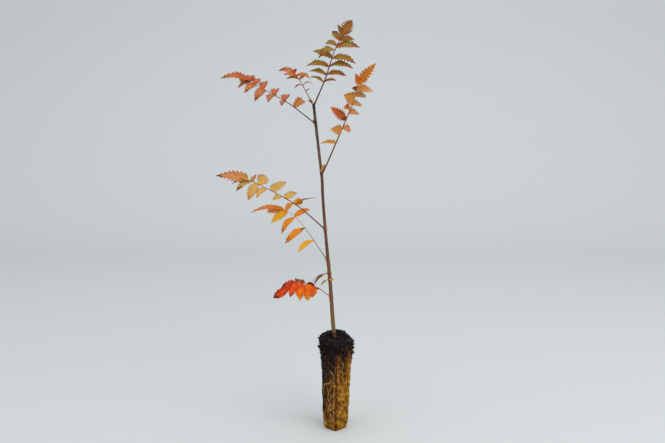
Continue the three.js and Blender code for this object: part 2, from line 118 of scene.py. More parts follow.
# The stem's radius at a height, and its line: height, distance to the right, to the back.
STEM_RADII = np.array([
    [116, 3.0], [122, 2.95], [132, 2.7], [153, 2.6], [173, 2.4], [213, 2.2], [252, 1.95], [290, 1.8],
    [330, 1.85], [366, 1.7], [391, 1.75], [421, 1.65],
])
STEM_ROUTE = np.array([
    [116, -0.5, 0], [138, -2.9, 0], [192, -6.7, 0.8], [239, -10.9, 1], [266, -13.3, 0.6],
    [311, -16.4, 0], [335, -17.5, -0.4], [354, -19.8, -0.4], [384, -23.2, 0], [421, -27.2, 0],
])
NODE_SWELLING, NODE_REACH = 0.16, 3.2  # of the radius, and over how many millimetres
KNOT_RISE, KNOT_REACH, KNOT_STRENGTH = 1.0, 4.5, 0.7  # of the darker tint just above each leaf's foot

# The stem's tint at a height, in 0 to 255 of sRGB: soiled at the foot, olive tan above it, then
# brown, and maroon at the fork.
STEM_TINTS = np.array([
    [116, 34, 22, 16], [126, 48, 32, 22], [131, 88, 62, 38], [137, 118, 90, 52], [190, 106, 75, 50],
    [240, 94, 66, 46], [270, 106, 64, 42], [300, 86, 50, 42], [322, 82, 48, 38], [360, 102, 74, 60],
    [396, 88, 60, 50], [408, 90, 70, 56], [416, 48, 22, 24], [421, 40, 16, 20],
])

# Buds: height, bearing, rise, length, radius. The last one ends the stem.
BUDS = np.array([
    [181, 200, 52, 3.2, 1.15], [199, 340, 52, 4.4, 1.15], [218, 345, 52, 3.4, 1.15],
    [228, 150, 52, 3.4, 1.15], [267, 320, 52, 4.0, 1.15], [343, 318, 52, 5.0, 1.15],
    [402, 165, 52, 3.0, 1.15], [419.5, 100, 84, 5.5, 1.3],
])
BUD_TINTS = "clay gold straw ochre straw gold rust maroon"

# Tints in 0 to 255 of sRGB: of autumn tissue, of the stem, and of the root ball and the floor. Some of the
# root ball's are painted light: shade in its gaps and holes, and highlights on its soil.
TINTS = {
    "olive": (126, 108, 32), "moss": (110, 88, 18), "bronze": (140, 94, 30), "copper": (180, 106, 26),
    "rust": (156, 74, 28), "umber": (100, 56, 30), "plum": (74, 40, 40), "sooty": (32, 19, 18),
    "ochre": (188, 134, 54), "straw": (196, 162, 84), "gold": (214, 158, 30), "amber": (218, 126, 14),
    "orange": (206, 102, 22), "blaze": (232, 106, 8), "flame": (222, 66, 10), "ember": (200, 82, 32),
    "scarlet": (196, 50, 20), "crimson": (140, 32, 24), "coral": (186, 108, 80),
    "salmon": (216, 120, 64), "fawn": (174, 114, 68), "pink": (192, 124, 96), "peach": (196, 132, 86),
    "apricot": (186, 130, 66), "tan": (184, 142, 98), "clay": (174, 94, 44), "russet": (170, 76, 38),
    "sienna": (138, 64, 22), "maroon": (76, 18, 26),
    "soiled": (62, 40, 30), "lenticel": (196, 164, 128), "lichen": (112, 98, 46), "knot": (138, 66, 50),
    "high_knot": (48, 18, 26), "stalk_shade": (96, 44, 34),
    "soil": (27, 21, 22), "stain": (98, 66, 34), "brown_mat": (32, 20, 13), "golden_mat": (150, 96, 10),
    "red_mat": (124, 52, 12), "gap": (15, 11, 9), "seam": (84, 14, 8), "seam_root": (84, 16, 6),
    "crumb_mottle_and_gap_shade": (14, 10, 12), "grain": (112, 98, 92), "thread": (64, 30, 12),
    "root_shade": (84, 44, 16), "black_crumb": (20, 15, 16), "grey_crumb": (33, 28, 30),
    "red_crumb": (64, 34, 24), "ash_crumb": (88, 82, 86), "dark_hair": (36, 28, 28),
    "brown_hair": (70, 52, 44), "pale_hair": (140, 106, 78), "ginger": (96, 54, 6),
    "saffron": (252, 196, 36), "tar": (28, 18, 11), "acorn": (136, 92, 34), "oak": (132, 86, 28),
    "flax": (224, 178, 92), "loam": (48, 36, 28), "hazel": (116, 84, 54), "teak": (104, 60, 14),
    "caramel": (180, 122, 36), "walnut": (120, 82, 38), "wheat": (196, 150, 82),
    "paper": (198, 202, 203),
}

# Bearings in plan: 0 to the right, 90 to the back, 180 to the left, 270 to the front.
# A stalk starts in the middle of the stem and turns evenly between its bends, each (distance
# up the stalk, bearing, rise), and its tints run from foot to tip. "blade" is the usual width of
# its leaflets as a share of their length, and "teeth" the depth of the teeth of most leaflets and
# of the last one, as a share of the half width. A leaflet is (tints of its base, its blade and
# its tip, distance up the stalk, length, heading, toward, face, bow, width, widest):
#   heading  its slope seen from the front: 0 to the right, 90 up, 180 to the left, 270 down
#   toward   degrees that it leans to the front, negative to the back
#   face     0 with its blade square to the front, 90 edge on with its upper side up
#   bow      height of its arch, as a share of its length
#   width    times the leaf's usual width
#   widest   how far up it is widest, where that isn't the usual share
LEAVES = {
    "leaf_top": {
        "slot": "leaf_olive", "foot": 421, "radius": (0.95, 0.4), "flare": 0.75,
        "blade": 0.36, "teeth": (0.64, 0.7), "blotches": 0.6,
        "stalk": "maroon umber", "edge": "sienna", "veins": "ochre",
        "bends": [(0, 31, 63), (28, 35, 61.5), (44, 38, 68), (62, 39, 69), (72, 39, 61), (98, 39, 58)],
        "leaflets": [
            ("bronze olive olive", 32, 19.5, 157, -10, 64, 0.12, 1.15),
            ("umber bronze rust", 33, 16, 7, 10, 58, 0.12, 1.15),
            ("sienna olive bronze", 42, 23.5, 166, -15, 56, 0.13, 1.2),
            ("sienna bronze umber", 43, 25.5, 356, 15, 52, 0.13, 1.2),
            ("sienna olive olive", 53, 30.5, 177, -15, 56, 0.14, 1.2),
            ("sienna olive umber", 54, 30.5, 356, 15, 54, 0.14, 1.15),
            ("bronze olive moss", 65, 27, 159, -20, 45, 0.08, 1.35),
            ("bronze olive plum", 64, 31.5, 350, 15, 48, 0.14, 1.15),
            ("bronze olive plum", 76, 24, 204, 20, 40, 0.24, 1.3),
            ("sienna olive umber", 80, 29.5, 1, 15, 40, 0.15, 1.25),
            ("sienna olive plum", 82, 18.5, 169, -30, 45, 0.2, 1.4),
            ("sienna moss moss", 90, 19.5, 2, 20, 30, 0.16, 1.35),
            ("sienna olive plum", 90, 17.5, 124, -30, 25, 0.04, 1.7, 0.45),
            ("bronze bronze plum", 97, 18.5, 104, -30, 50, 0, 1.3),
            ("bronze bronze umber", 97, 18, 29, -30, 50, 0, 1.3),
            ("bronze bronze umber", 98, 23.5, 55, 0, 10, 0.04, 1.75, 0.5),
        ],
    },
    "leaf_young": {
        "slot": "leaf_russet", "foot": 419.5, "radius": (0.6, 0.3), "flare": 0.7,
        "blade": 0.33, "teeth": (0.62, 0.66), "blotches": 0.5,
        "stalk": "maroon rust", "edge": "crimson", "veins": "apricot",
        "bends": [(0, 158, 62), (28, 162, 60), (50, 174, 52)],
        "leaflets": [
            ("ochre apricot copper", 6, 6, 105, 40, 10, 0.1, 1.7),
            ("copper apricot copper", 7, 6, 150, 35, 10, 0.1, 1.3),
            ("coral rust plum", 22, 6.5, 40, -20, 50, 0, 1),
            ("coral crimson plum", 30, 11.5, 197, 20, 70, 0.2, 1.3),
            ("coral pink coral", 30, 12.5, 15, 0, 74, 0.2, 1.2),
            ("russet bronze plum", 38, 17, 175, 20, 60, 0.18, 1.3),
            ("coral copper clay", 38, 13.5, 20, -40, 50, 0.3, 1.3),
            ("scarlet copper coral", 44, 18.5, 174, 30, 30, 0.18, 1.05),
            ("russet apricot coral", 45, 18.5, 341, -15, 38, 0.38, 0.95, 0.35),
            ("scarlet crimson crimson", 50, 9.5, 80, -50, 15, 0.1, 1.5),
            ("scarlet fawn crimson", 50, 20.5, 170, 10, 30, 0.25, 1.1),
        ],
    },
    "leaf_upper_left": {
        "slot": "leaf_coral", "foot": 398.5, "radius": (0.75, 0.38), "flare": 0.9,
        "blade": 0.4, "teeth": (0.58, 0.64), "blotches": 0.5,
        "stalk": "maroon russet", "edge": "crimson", "veins": "apricot",
        "bends": [(0, 158, 36), (32, 160, 35), (50, 163, 28), (103, 170, 28)],
        "leaflets": [
            ("clay clay coral", 4, 6, 140, 20, 55, 0, 1.2),
            ("copper apricot rust", 36, 23, 31, -55, 20, 0.3, 1.25, 0.36),
            ("clay coral pink", 51, 18.5, 71, -62, 20, 0.1, 1.5),
            ("clay fawn umber", 51, 13.5, 243, 62, 30, 0.1, 1.5, 0.35),
            ("clay coral pink", 66, 18.5, 79, -62, 15, 0.1, 1.5),
            ("clay fawn umber", 66, 21.5, 229, 62, 45, 0.1, 1.4, 0.35),
            ("clay coral coral", 82, 20.5, 90, -60, 10, 0.1, 1.4),
            ("clay fawn umber", 82, 24.5, 237, 45, 20, 0.1, 1.25, 0.35),
            ("russet coral coral", 94, 18, 92, -62, 15, 0.1, 1.7),
            ("rust fawn umber", 94, 22.5, 220, 45, 35, 0.12, 1.3, 0.35),
            ("russet clay coral", 101, 17.5, 107, -60, 20, 0.1, 1.7),
            ("clay fawn umber", 102, 19.5, 206, 35, 50, 0.1, 1.3, 0.35),
            ("ember clay umber", 102, 16.5, 174, 40, 76, 0.1, 1.3),
            ("russet clay olive", 102, 38, 173, 5, 45, 0.19, 0.76, 0.38),
        ],
    },
    "leaf_right": {
        "slot": "leaf_apricot", "foot": 337.5, "radius": (1.0, 0.42), "flare": 1.0,
        "blade": 0.43, "teeth": (0.56, 0.6), "blotches": 0.4,
        "stalk": "umber rust", "edge": "clay", "veins": "ochre",
        "bends": [
            (0, 322, 36), (7.5, 322, 60.5), (27, 322, 62), (96, 326, 63), (110, 330, 77), (125, 330, 70),
        ],
        "leaflets": [
            ("gold ochre olive", 3.5, 5.5, 150, 10, 20, 0, 1.6),
            ("rust pink tan", 3.5, 9.5, 80, 0, 20, 0.1, 1.2),
            ("ochre ochre straw", 46, 24.5, 178, 35, 60, 0.02, 0.85, 0.18),
            ("ochre apricot straw", 63.5, 20.5, 175, 48, 5, 0.1, 1.35, 0.4),
            ("apricot pink tan", 66, 17.5, 346, -50, 30, 0.08, 1.35),
            ("sooty russet ember", 77.2, 25.5, 139, 20, 12, 0.06, 1.05),
            ("pink tan tan", 86, 18.5, 359, -45, 50, 0.1, 1.4),
            ("clay copper copper", 92.5, 15, 172, 55, 40, 0.1, 1.5),
            ("ochre tan tan", 98, 17.5, 2, -50, 45, 0.06, 1.4),
            ("ochre ochre copper", 105, 21.5, 158, 50, 0, 0.1, 1.75, 0.4),
            ("apricot tan tan", 109, 18.5, 2, -40, 45, 0.08, 1.5),
            ("apricot apricot tan", 117, 22.5, 355, -25, 40, 0.08, 1.25, 0.32),
            ("rust sooty sooty", 117, 9.5, 165, 50, 15, 0.2, 1.7),
            ("amber ember rust", 124, 14.5, 105, 30, 30, 0.06, 1.4),
            ("ochre ochre tan", 124, 15.5, 26, -40, 60, 0.06, 1.4),
            ("amber copper orange", 124, 32.5, 50, 10, 15, 0.05, 0.85, 0.36),
        ],
    },
    "leaf_middle_left": {
        "slot": "leaf_straw", "foot": 265.5, "radius": (0.9, 0.4), "flare": 0.8,
        "blade": 0.41, "teeth": (0.5, 0.52), "blotches": 0.3,
        "stalk": "umber bronze", "edge": "rust", "veins": "straw",
        "bends": [(0, 148, 34), (38, 149, 33), (56, 151, 25), (120, 164, 22), (130, 168, 30)],
        "leaflets": [
            ("gold straw straw", 3, 4, 70, 30, 20, 0, 1.3),
            ("ochre umber umber", 55, 31, 15, -20, 85, 0.05, 0.5),
            ("gold amber ochre", 57.5, 17, 2, -40, 25, 0.12, 1.4),
            ("straw straw pink", 71, 26, 20, -50, 35, 0.06, 0.95, 0.26),
            ("straw straw ochre", 78, 16, 200, 52, 25, 0.1, 1.2),
            ("straw straw peach", 93.5, 30.5, 25, -42, 20, 0.05, 0.92, 0.24),
            ("straw straw ochre", 100, 23, 220, 48, 48, 0.12, 1.2),
            ("straw straw peach", 112, 22.5, 53, -54, 0, 0.06, 1.75),
            ("straw straw ochre", 115, 27, 242, 35, 12, 0.1, 1.15),
            ("straw peach coral", 120, 16.5, 84, -60, 45, 0.06, 1.6),
            ("straw straw umber", 122, 26, 208, 30, 50, 0.16, 1.1),
            ("straw straw umber", 123, 26, 186, 20, 72, 0.14, 1.2),
            ("straw ochre plum", 129, 23.5, 182, 10, 72, 0.08, 1),
            ("ochre peach sooty", 129, 42, 173, 5, 25, 0.13, 0.86, 0.27),
        ],
    },
    "leaf_lower_left": {
        "slot": "leaf_amber", "foot": 223, "radius": (0.55, 0.32), "flare": 0.7,
        "blade": 0.35, "teeth": (0.48, 0.45), "blotches": 0.35,
        "stalk": "bronze ochre", "edge": "copper", "veins": "gold",
        "bends": [(0, 135, 43), (46, 136, 43), (76, 141, 34), (102, 150, 16)],
        "leaflets": [
            ("straw gold gold", 4, 4, 200, 20, 30, 0, 1),
            ("gold gold gold", 36, 26.5, 213, 25, 50, 0.14, 1, 0.5),
            ("umber amber rust", 58, 33.5, 216, 20, 42, 0.1, 0.95, 0.5),
            ("gold amber rust", 79, 29, 226, 25, 45, 0.14, 1.05, 0.45),
            ("amber orange coral", 80, 31, 19, -45, 45, 0.1, 0.85, 0.34),
            ("amber gold gold", 94, 27.5, 213, 25, 25, 0.13, 1.2),
            ("amber amber orange", 96, 18.5, 49, -50, 35, 0.1, 1.35),
            ("amber salmon peach", 100, 24, 185, 20, 20, 0.08, 1, 0.5),
            ("amber salmon peach", 100, 45, 183, 10, 50, 0.14, 0.55, 0.3),
        ],
    },
    "leaf_lowest": {
        "slot": "leaf_scarlet", "foot": 176, "radius": (0.55, 0.34), "flare": 0.7,
        "blade": 0.44, "teeth": (0.48, 0.34), "blotches": 0.4,
        "stalk": "rust rust", "edge": "crimson", "veins": "gold",
        "bends": [(0, 190, 40), (18, 190, 40), (27, 190, 22), (44, 192, 10), (61, 190, -18)],
        "leaflets": [
            ("rust orange rust", 20.5, 5, 187, 10, 30, 0, 1.7, 0.5),
            ("sooty sooty sooty", 27, 14, 179, -30, 45, 0.15, 1.3, 0.45),
            ("scarlet blaze copper", 31.5, 16, 274, 10, 20, 0.06, 1.85),
            ("blaze blaze gold", 36.5, 21.5, 270, 22, 5, 0.06, 1.6, 0.33),
            ("rust umber umber", 40.6, 10.5, 153, -50, 30, 0.1, 1.2),
            ("rust bronze umber", 46, 9, 131, -50, 35, 0, 1.2),
            ("flame blaze gold", 46, 22.8, 268, 25, 8, 0.06, 1.3, 0.36),
            ("umber umber sooty", 49.8, 9.8, 122, -50, 45, 0, 1),
            ("flame scarlet sooty", 49.5, 25.5, 200, -20, 40, 0.06, 1.05),
            ("flame flame crimson", 53, 19, 248, 25, 15, 0.06, 1.3, 0.38),
            ("flame scarlet sooty", 52, 34, 211, 12, 15, 0.02, 0.74, 0.68),
        ],
    },
    "dried_leaf_upper": {
        "slot": "leaf_dried", "foot": 207.5, "radius": (0.45, 0.25), "flare": 0.4,
        "blade": 0.2, "teeth": (0.15, 0.15), "blotches": 0.4,
        "stalk": "umber umber", "edge": "umber", "veins": "ochre",
        "bends": [(0, 172, 8), (8, 174, -12), (26, 180, -62)],
        "leaflets": [("ochre umber umber", 5, 21, 224, 5, 55, 0.15, 1.05)],
    },
    "dried_leaf_lower": {
        "slot": "leaf_dried", "foot": 201, "radius": (0.45, 0.25), "flare": 0.4,
        "blade": 0.22, "teeth": (0.15, 0.15), "blotches": 0.2,
        "stalk": "ochre tan", "edge": "umber", "veins": "ochre",
        "bends": [(0, 200, -8), (6, 202, -26), (16, 205, -62)],
        "leaflets": [
            ("gold gold straw", 2.5, 9.5, 8, 40, 20, 0, 1.3),
            ("ochre tan tan", 4, 10.5, 220, 10, 50, 0.1, 1.5),
        ],
    },
}
LEAF_FEET = np.array([leaf["foot"] for leaf in LEAVES.values()])
USUAL_WIDEST = 0.42
LEAFLETS_STOP_SHORT = 1.6  # the last leaflets are rooted this far from the stalk's tip
FLARE_LENGTH = 2.6  # of a stalk's foot
JOINT_SWELLING, JOINT_REACH = 0.14, 1.1  # of a stalk's radius where leaflets join it, millimetres
EDGE_SHARE = 0.72  # how strongly the edge colour shows

TEETH = 8  # a side of each leaflet
STATIONS_PER_TOOTH = 5
MARGIN_COLUMNS = 20  # points round a leaflet's section
TOOTH_REACH = 0.05  # how far the margin leans forward over a tooth, of the length
FOLD = 0.2  # how far the margins sit above the midrib, as a share of the half width
PLEAT = 0.11  # millimetres between the side veins and the tissue between them
VEIN_SLANT = 1.3  # teeth that a side vein passes on its way out to the margin
BLADE_THICKNESS = 0.34

FRONT = np.array([0.0, -1.0, 0.0])

# ---------------------------------------------------------------- arithmetic


def colour(tint):
    """Tints by name, or in 0 to 255 of sRGB, as linear light: ((c + 0.055) / 1.055) to the power
    2.4, the usual curve of sRGB."""
    if isinstance(tint, str):
        tint = np.squeeze([TINTS[name] for name in tint.split()])
    share = np.array(tint) / 255
    return np.where(share < 0.04045, share / 12.92, ((share + 0.055) / 1.055) ** 2.4)


def unit(vectors):
    """Each vector divided by its length."""
    return vectors / np.linalg.norm(vectors, axis=-1, keepdims=True)


def compass(bearing, rise=0.0):
    """Unit vectors at bearings in plan and rises above the horizontal, both in degrees."""
    bearing, rise = np.broadcast_arrays(np.radians(bearing), np.radians(rise))
    flat = np.cos(rise)
    return np.stack([flat * np.cos(bearing), flat * np.sin(bearing), np.sin(rise)], axis=-1)


def blend(first, second, share):
    """The value that lies share of the way from the first to the second."""
    return first + (second - first) * share


def ease(low, high, value):
    """0 below low, 1 above high, and 3s^2 - 2s^3 between them."""
    share = np.clip((value - low) / (high - low), 0, 1)
    return share * share * (3 - 2 * share)


def bell(value, middle, reach, power=2):
    """1 at the middle: e to the minus of a power of the distance from it over the reach."""
    return np.exp(-(np.abs((value - middle) / reach) ** power))


def through(knots, values, at):
    """A smooth curve through the values at the knots: cubics whose slopes match at each knot."""
    slopes = np.gradient(values, knots, axis=0)
    i = np.clip(np.searchsorted(knots, at) - 1, 0, len(knots) - 2)
    step = (knots[i + 1] - knots[i])[..., None]
    s = np.clip((at - knots[i]) / (knots[i + 1] - knots[i]), 0, 1)[..., None]
    bend = s * (1 - s) * step * ((1 - s) * slopes[i] - s * slopes[i + 1])
    return blend(values[i], values[i + 1], ease(0, 1, s)) + bend


def ripple(points, wavelength, seed, waves=28):
    """Soft noise of spread 1: sines of about one wavelength that cross in random directions."""
    random = np.random.default_rng(seed)
    ways = unit(random.normal(size=(waves, 3))) * random.uniform(0.7, 1.4, (waves, 1)) * TURN / wavelength
    phases = random.uniform(0, TURN, waves)
    return np.sin(points @ ways.T + phases).sum(-1) * np.sqrt(2 / waves)


# ---------------------------------------------------------------- meshes


def skins(rings, starts, ends):
    """Closed skins: in each, ring after ring joined by quads and fanned to a pole at each end.

    rings is (skins, rings, points, 3), and a ring turns right-handed about the way it goes.
    Each corner also gets its place on the unrolled skin, along by round, both from 0 to 1.
    """
    count, rows, sides, _ = rings.shape
    first = np.arange(count)[:, None, None] * (rows * sides + 2)
    last = first + (rows - 1) * sides
    i = np.arange(rows - 1)[None, :, None]
    j = np.arange(sides)[None, None, :]
    after = (j + 1) % sides

    def corners(*places):
        """Indices, unrolled places and skins of faces whose corners are (index, row, column)."""
        shape = np.broadcast_shapes(*(np.shape(value) for place in places for value in place))
        index, row, column = (
            np.stack([np.broadcast_to(value, shape) for value in part], -1) for part in zip(*places)
        )
        owner = np.broadcast_to(np.arange(count)[:, None, None, None], index.shape)
        unrolled = np.stack([row / (rows + 1), column / sides], -1)
        flat = (-1, len(places))
        return index.reshape(flat), unrolled.reshape(*flat, 2), owner.reshape(flat)

    body = corners(
        (first + i * sides + j, i + 1, j),
        (first + i * sides + after, i + 1, j + 1),
        (first + (i + 1) * sides + after, i + 2, j + 1),
        (first + (i + 1) * sides + j, i + 2, j),
    )
    foot = corners((last + sides, 0, j + 0.5), (first + after, 1, j + 1), (first + j, 1, j))
    head = corners((last + sides + 1, rows + 1, j + 0.5), (last + j, rows, j), (last + after, rows, j + 1))
    points = np.concatenate([rings.reshape(count, -1, 3), starts[:, None], ends[:, None]], axis=1)
    return {"points": points.reshape(-1, 3), "faces": [body, foot, head], "shape": rings.shape}


def tubes(paths, radii, reference, sides=None):
    """Tubes about paths (paths, points, 3): radii (paths, points, sides), or (paths, points) and
    a number of sides where they are round.

    Each ring's angle is counted from the reference made square to the path.
    """
    if sides:
        radii = np.repeat(radii[..., None], sides, -1)
    ways = unit(np.gradient(paths, axis=-2))
    normals = unit(reference - ways * (reference * ways).sum(-1, keepdims=True))
    sideways = np.cross(ways, normals)
    angles = np.arange(radii.shape[-1])[:, None] * TURN / radii.shape[-1]
    turning = normals[:, :, None] * np.cos(angles) + sideways[:, :, None] * np.sin(angles)
    return skins(paths[:, :, None] + turning * radii[..., None], paths[:, 0], paths[:, -1])


def piece(name, skin, material, slot, elongation=4, **attributes):
    """A mesh object of skins in millimetres, riding on the plant, with its bake map and attributes.

    The bake map gives each skin a cell of its own in a grid, about elongation times as many
    cells down as across, with a margin round each. An attribute's values are broadcast to
    (skins, rings, points, 3), and each pole gets its ring's mean.
    """
    count = skin["shape"][0]
    indices, places, owners = zip(*skin["faces"])
    sizes = np.concatenate([np.full(len(index), index.shape[1]) for index in indices])
    indices, owners = (np.concatenate([part.ravel() for part in parts]) for parts in (indices, owners))
    places = np.concatenate([place.reshape(-1, 2) for place in places])
    mesh = bpy.data.meshes.new(name)
    mesh.vertices.add(len(skin["points"]))
    mesh.vertices.foreach_set("co", (skin["points"] * MM).astype(np.float32).ravel())
    mesh.loops.add(len(indices))
    mesh.loops.foreach_set("vertex_index", indices.astype(np.int32))
    mesh.polygons.add(len(sizes))
    mesh.polygons.foreach_set("loop_start", (np.cumsum(sizes) - sizes).astype(np.int32))
    mesh.update(calc_edges=True)
    mesh.polygons.foreach_set("use_smooth", np.ones(len(sizes), bool))

    across = max(1, round((count / elongation) ** 0.5))
    down = -(-count // across)
    margin = 0.04
    cells = np.stack([owners % across, owners // across], -1)
    unrolled = (cells + margin + places * (1 - 2 * margin)) / [across, down]
    mesh.uv_layers.new(name="OFBake").uv.foreach_set("vector", unrolled.astype(np.float32).ravel())
    for key, values in attributes.items():
        values = np.broadcast_to(values, skin["shape"])
        rows = np.concatenate([values.reshape(count, -1, 3), values[:, [0, -1]].mean(2)], axis=1)
        layer = mesh.attributes.new(key, "FLOAT_VECTOR", "POINT")
        layer.data.foreach_set("vector", rows.astype(np.float32).ravel())
    mesh.materials.append(material)
    made = bpy.data.objects.new(name, mesh)
    bpy.context.scene.collection.objects.link(made)
    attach(made, BODY)
    return made


# ---------------------------------------------------------------- shader helpers


def shade(tint):
    """A tint as a node's linear colour."""
    return (*colour(tint), 1)


class Tree:
    """A node tree, with short ways to add to it. Each input is a plain value or a socket."""

    def __init__(self, tree):
        self.tree = tree

    def put(self, value, socket):
        """Links a socket to the input, or sets its value."""
        if isinstance(value, bpy.types.NodeSocket):
            self.tree.links.new(value, socket)
        else:
            socket.default_value = value

    def add(self, kind, inputs=None, **settings):
        """A node with its settings and inputs."""
        node = self.tree.nodes.new("ShaderNode" + kind)
        for key, value in settings.items():
            setattr(node, key, value)
        for key, value in (inputs or {}).items():
            self.put(value, node.inputs[key])
        return node

    def maths(self, operation, *values):
        """The output of a Math node."""
        return self.add("Math", dict(enumerate(values)), operation=operation).outputs[0]

    def times(self, first, second):
        """The product of two numbers."""
        return self.maths("MULTIPLY", first, second)

    def times_plus(self, first, second, more):
        """The product of two numbers, and a third one more."""
        return self.maths("MULTIPLY_ADD", first, second, more)

    def mix(self, share, first, second):
        """The colour that lies share of the way from the first to the second."""
        inputs = {0: share, 6: first, 7: second}  # the sockets that a Mix node shows for colours
        return self.add("Mix", inputs, data_type="RGBA").outputs[2]

    def ramp(self, value, low, high):
        """0 where the value is low, 1 where it is high, smooth between."""
        inputs = {"Value": value, "From Min": low, "From Max": high}
        return self.add("MapRange", inputs, interpolation_type="SMOOTHSTEP").outputs["Result"]

    def space(self):
        """The place in the object."""
        return self.add("TexCoord").outputs["Object"]

    def squashed(self, place, share):
        """A place with its height multiplied by a share, which draws a pattern out up and down."""
        return self.add("Mapping", {"Vector": place, "Scale": (1, 1, share)}).outputs[0]

    def attribute(self, name, output="Color"):
        """One of the piece's own attributes."""
        return self.add("Attribute", attribute_name=name).outputs[output]

    def mottled(self, place, scale, low, high):
        """Uneven patches, as their mask and their height."""
        inputs = {"Place": place, "Scale": scale, "Low": low, "High": high}
        return self.add("Group", inputs, node_tree=mottle).outputs


def new_group(name, inputs, outputs):
    """A shader node group: its tree, and its Group Input and Output sockets. Each socket is named
    and has its kind, or the number that it starts with."""
    tree = bpy.data.node_groups.new(name, "ShaderNodeTree")
    for side, sockets in (("INPUT", inputs), ("OUTPUT", outputs)):
        for label, kind in sockets.items():
            number = isinstance(kind, float)
            socket_type = "NodeSocket" + ("Float" if number else kind)
            socket = tree.interface.new_socket(label, in_out=side, socket_type=socket_type)
            if number:
                socket.default_value = kind
    given, result = (tree.nodes.new(kind) for kind in ("NodeGroupInput", "NodeGroupOutput"))
    return Tree(tree), given.outputs, result.inputs


def mottle_group():
    """Uneven patches: two noises, one four times finer, added and stretched to a mask."""
    tree, given, result = new_group(
        "mottle",
        {"Place": "Vector", "Scale": 300.0, "Low": 0.4, "High": 0.6},
        {"Mask": "Float", "Height": "Float"},
    )
    inputs = {"Vector": given["Place"], "Scale": given["Scale"], "Detail": 3.0}
    coarse = tree.add("TexNoise", inputs).outputs["Fac"]
    inputs = {"Vector": given["Place"], "Scale": tree.times(given["Scale"], 4.0), "Detail": 2.0}
    fine = tree.add("TexNoise", inputs).outputs["Fac"]
    height = tree.times_plus(fine, 0.35, tree.times(coarse, 0.65))
    tree.put(tree.ramp(height, given["Low"], given["High"]), result["Mask"])
    tree.put(height, result["Height"])
    return tree.tree


def leaf_tissue_group():
    """Tinted leaf tissue: pale midrib and side veins, rusty blotches and darker toothed edges.

    Across is 0 at the midrib and 1 at a margin, so a side vein is where teeth * along minus the
    slant of across is a whole number.
    """
    tree, given, result = new_group(
        "leaf_tissue",
        {
            "Tint": "Color", "Place": "Vector", "Edge Colour": "Color", "Vein Colour": "Color",
            "Edge": 0.6, "Blotches": 0.5,
        },
        {"Colour": "Color", "Roughness": "Float", "Height": "Float"},
    )
    where = tree.add("SeparateXYZ", {0: given["Place"]}).outputs
    across = tree.maths("ABSOLUTE", where["Y"])
    space = tree.space()
    patches = tree.mottled(space, 170.0, 0.47, 0.6)
    grain = tree.mottled(space, 900.0, 0.3, 0.7)

    phase = tree.times_plus(where["X"], float(TEETH), tree.times(across, -VEIN_SLANT))
    from_vein = tree.maths("ABSOLUTE", tree.maths("SUBTRACT", tree.maths("FRACT", phase), 0.5))
    side_vein = tree.ramp(from_vein, 0.4, 0.5)
    midrib = tree.ramp(across, 0.09, 0.03)
    veins = tree.maths("MAXIMUM", tree.times(side_vein, 0.45), midrib)
    rim = tree.ramp(tree.times_plus(grain["Height"], 0.3, across), 0.8, 1.1)

    painted = tree.mix(tree.times(grain["Mask"], 0.22), given["Tint"], given["Edge Colour"])
    painted = tree.mix(tree.times(patches["Mask"], given["Blotches"]), painted, given["Edge Colour"])
    painted = tree.mix(tree.times(veins, 0.35), painted, given["Vein Colour"])
    painted = tree.mix(tree.times(rim, given["Edge"]), painted, given["Edge Colour"])
    tree.put(painted, result["Colour"])
    tree.put(tree.times_plus(grain["Height"], 0.3, 0.38), result["Roughness"])
    relief = tree.maths("SUBTRACT", grain["Height"], tree.times(veins, 0.8))
    tree.put(relief, result["Height"])
    return tree.tree


def new_material(name):
    """An empty node material: itself, its tree, and its Principled shader's inputs."""
    material = bpy.data.materials.new(name)
    material.use_nodes = True
    material.node_tree.nodes.clear()
    tree = Tree(material.node_tree)
    shader = tree.add("BsdfPrincipled")
    tree.add("OutputMaterial", {0: shader.outputs[0]})
    return material, tree, shader.inputs


def finish_with(tree, shader, painted, roughness, height, depth, gloss):
    """Joins a colour, a roughness, a bump of a depth in metres and a gloss to the shader."""
    tree.put(painted, shader["Base Color"])
    tree.put(roughness, shader["Roughness"])
    bump = tree.add("Bump", {"Height": height, "Distance": depth, "Strength": 0.6})
    tree.put(bump.outputs[0], shader["Normal"])
    tree.put(gloss, shader["Specular IOR Level"])


def leaf_material(name, leaf):
    """Leaf tissue over each leaflet's own tints."""
    material, tree, shader = new_material(name)
    inputs = {
        "Tint": tree.attribute("tint"),
        "Place": tree.attribute("place", "Vector"),
        "Edge Colour": shade(leaf["edge"]),
        "Vein Colour": shade(leaf["veins"]),
        "Edge": EDGE_SHARE,
        "Blotches": leaf["blotches"],
    }
    made = tree.add("Group", inputs, node_tree=tissue).outputs
    finish_with(tree, shader, made["Colour"], made["Roughness"], made["Height"], depth=0.0002, gloss=0.1)
    return material


def tinted_material(name, dark, scale, share, roughness, depth):
    """The piece's own tints with a share of a dark one over them, in patches of a scale."""
    material, tree, shader = new_material(name)
    patches = tree.mottled(tree.space(), scale, 0.42, 0.62)
    painted = tree.mix(tree.times(patches["Mask"], share), tree.attribute("tint"), shade(dark))
    rough = tree.times_plus(patches["Height"], 0.2, roughness - 0.1)
    finish_with(tree, shader, painted, rough, patches["Height"], depth, gloss=0.15)
    return material


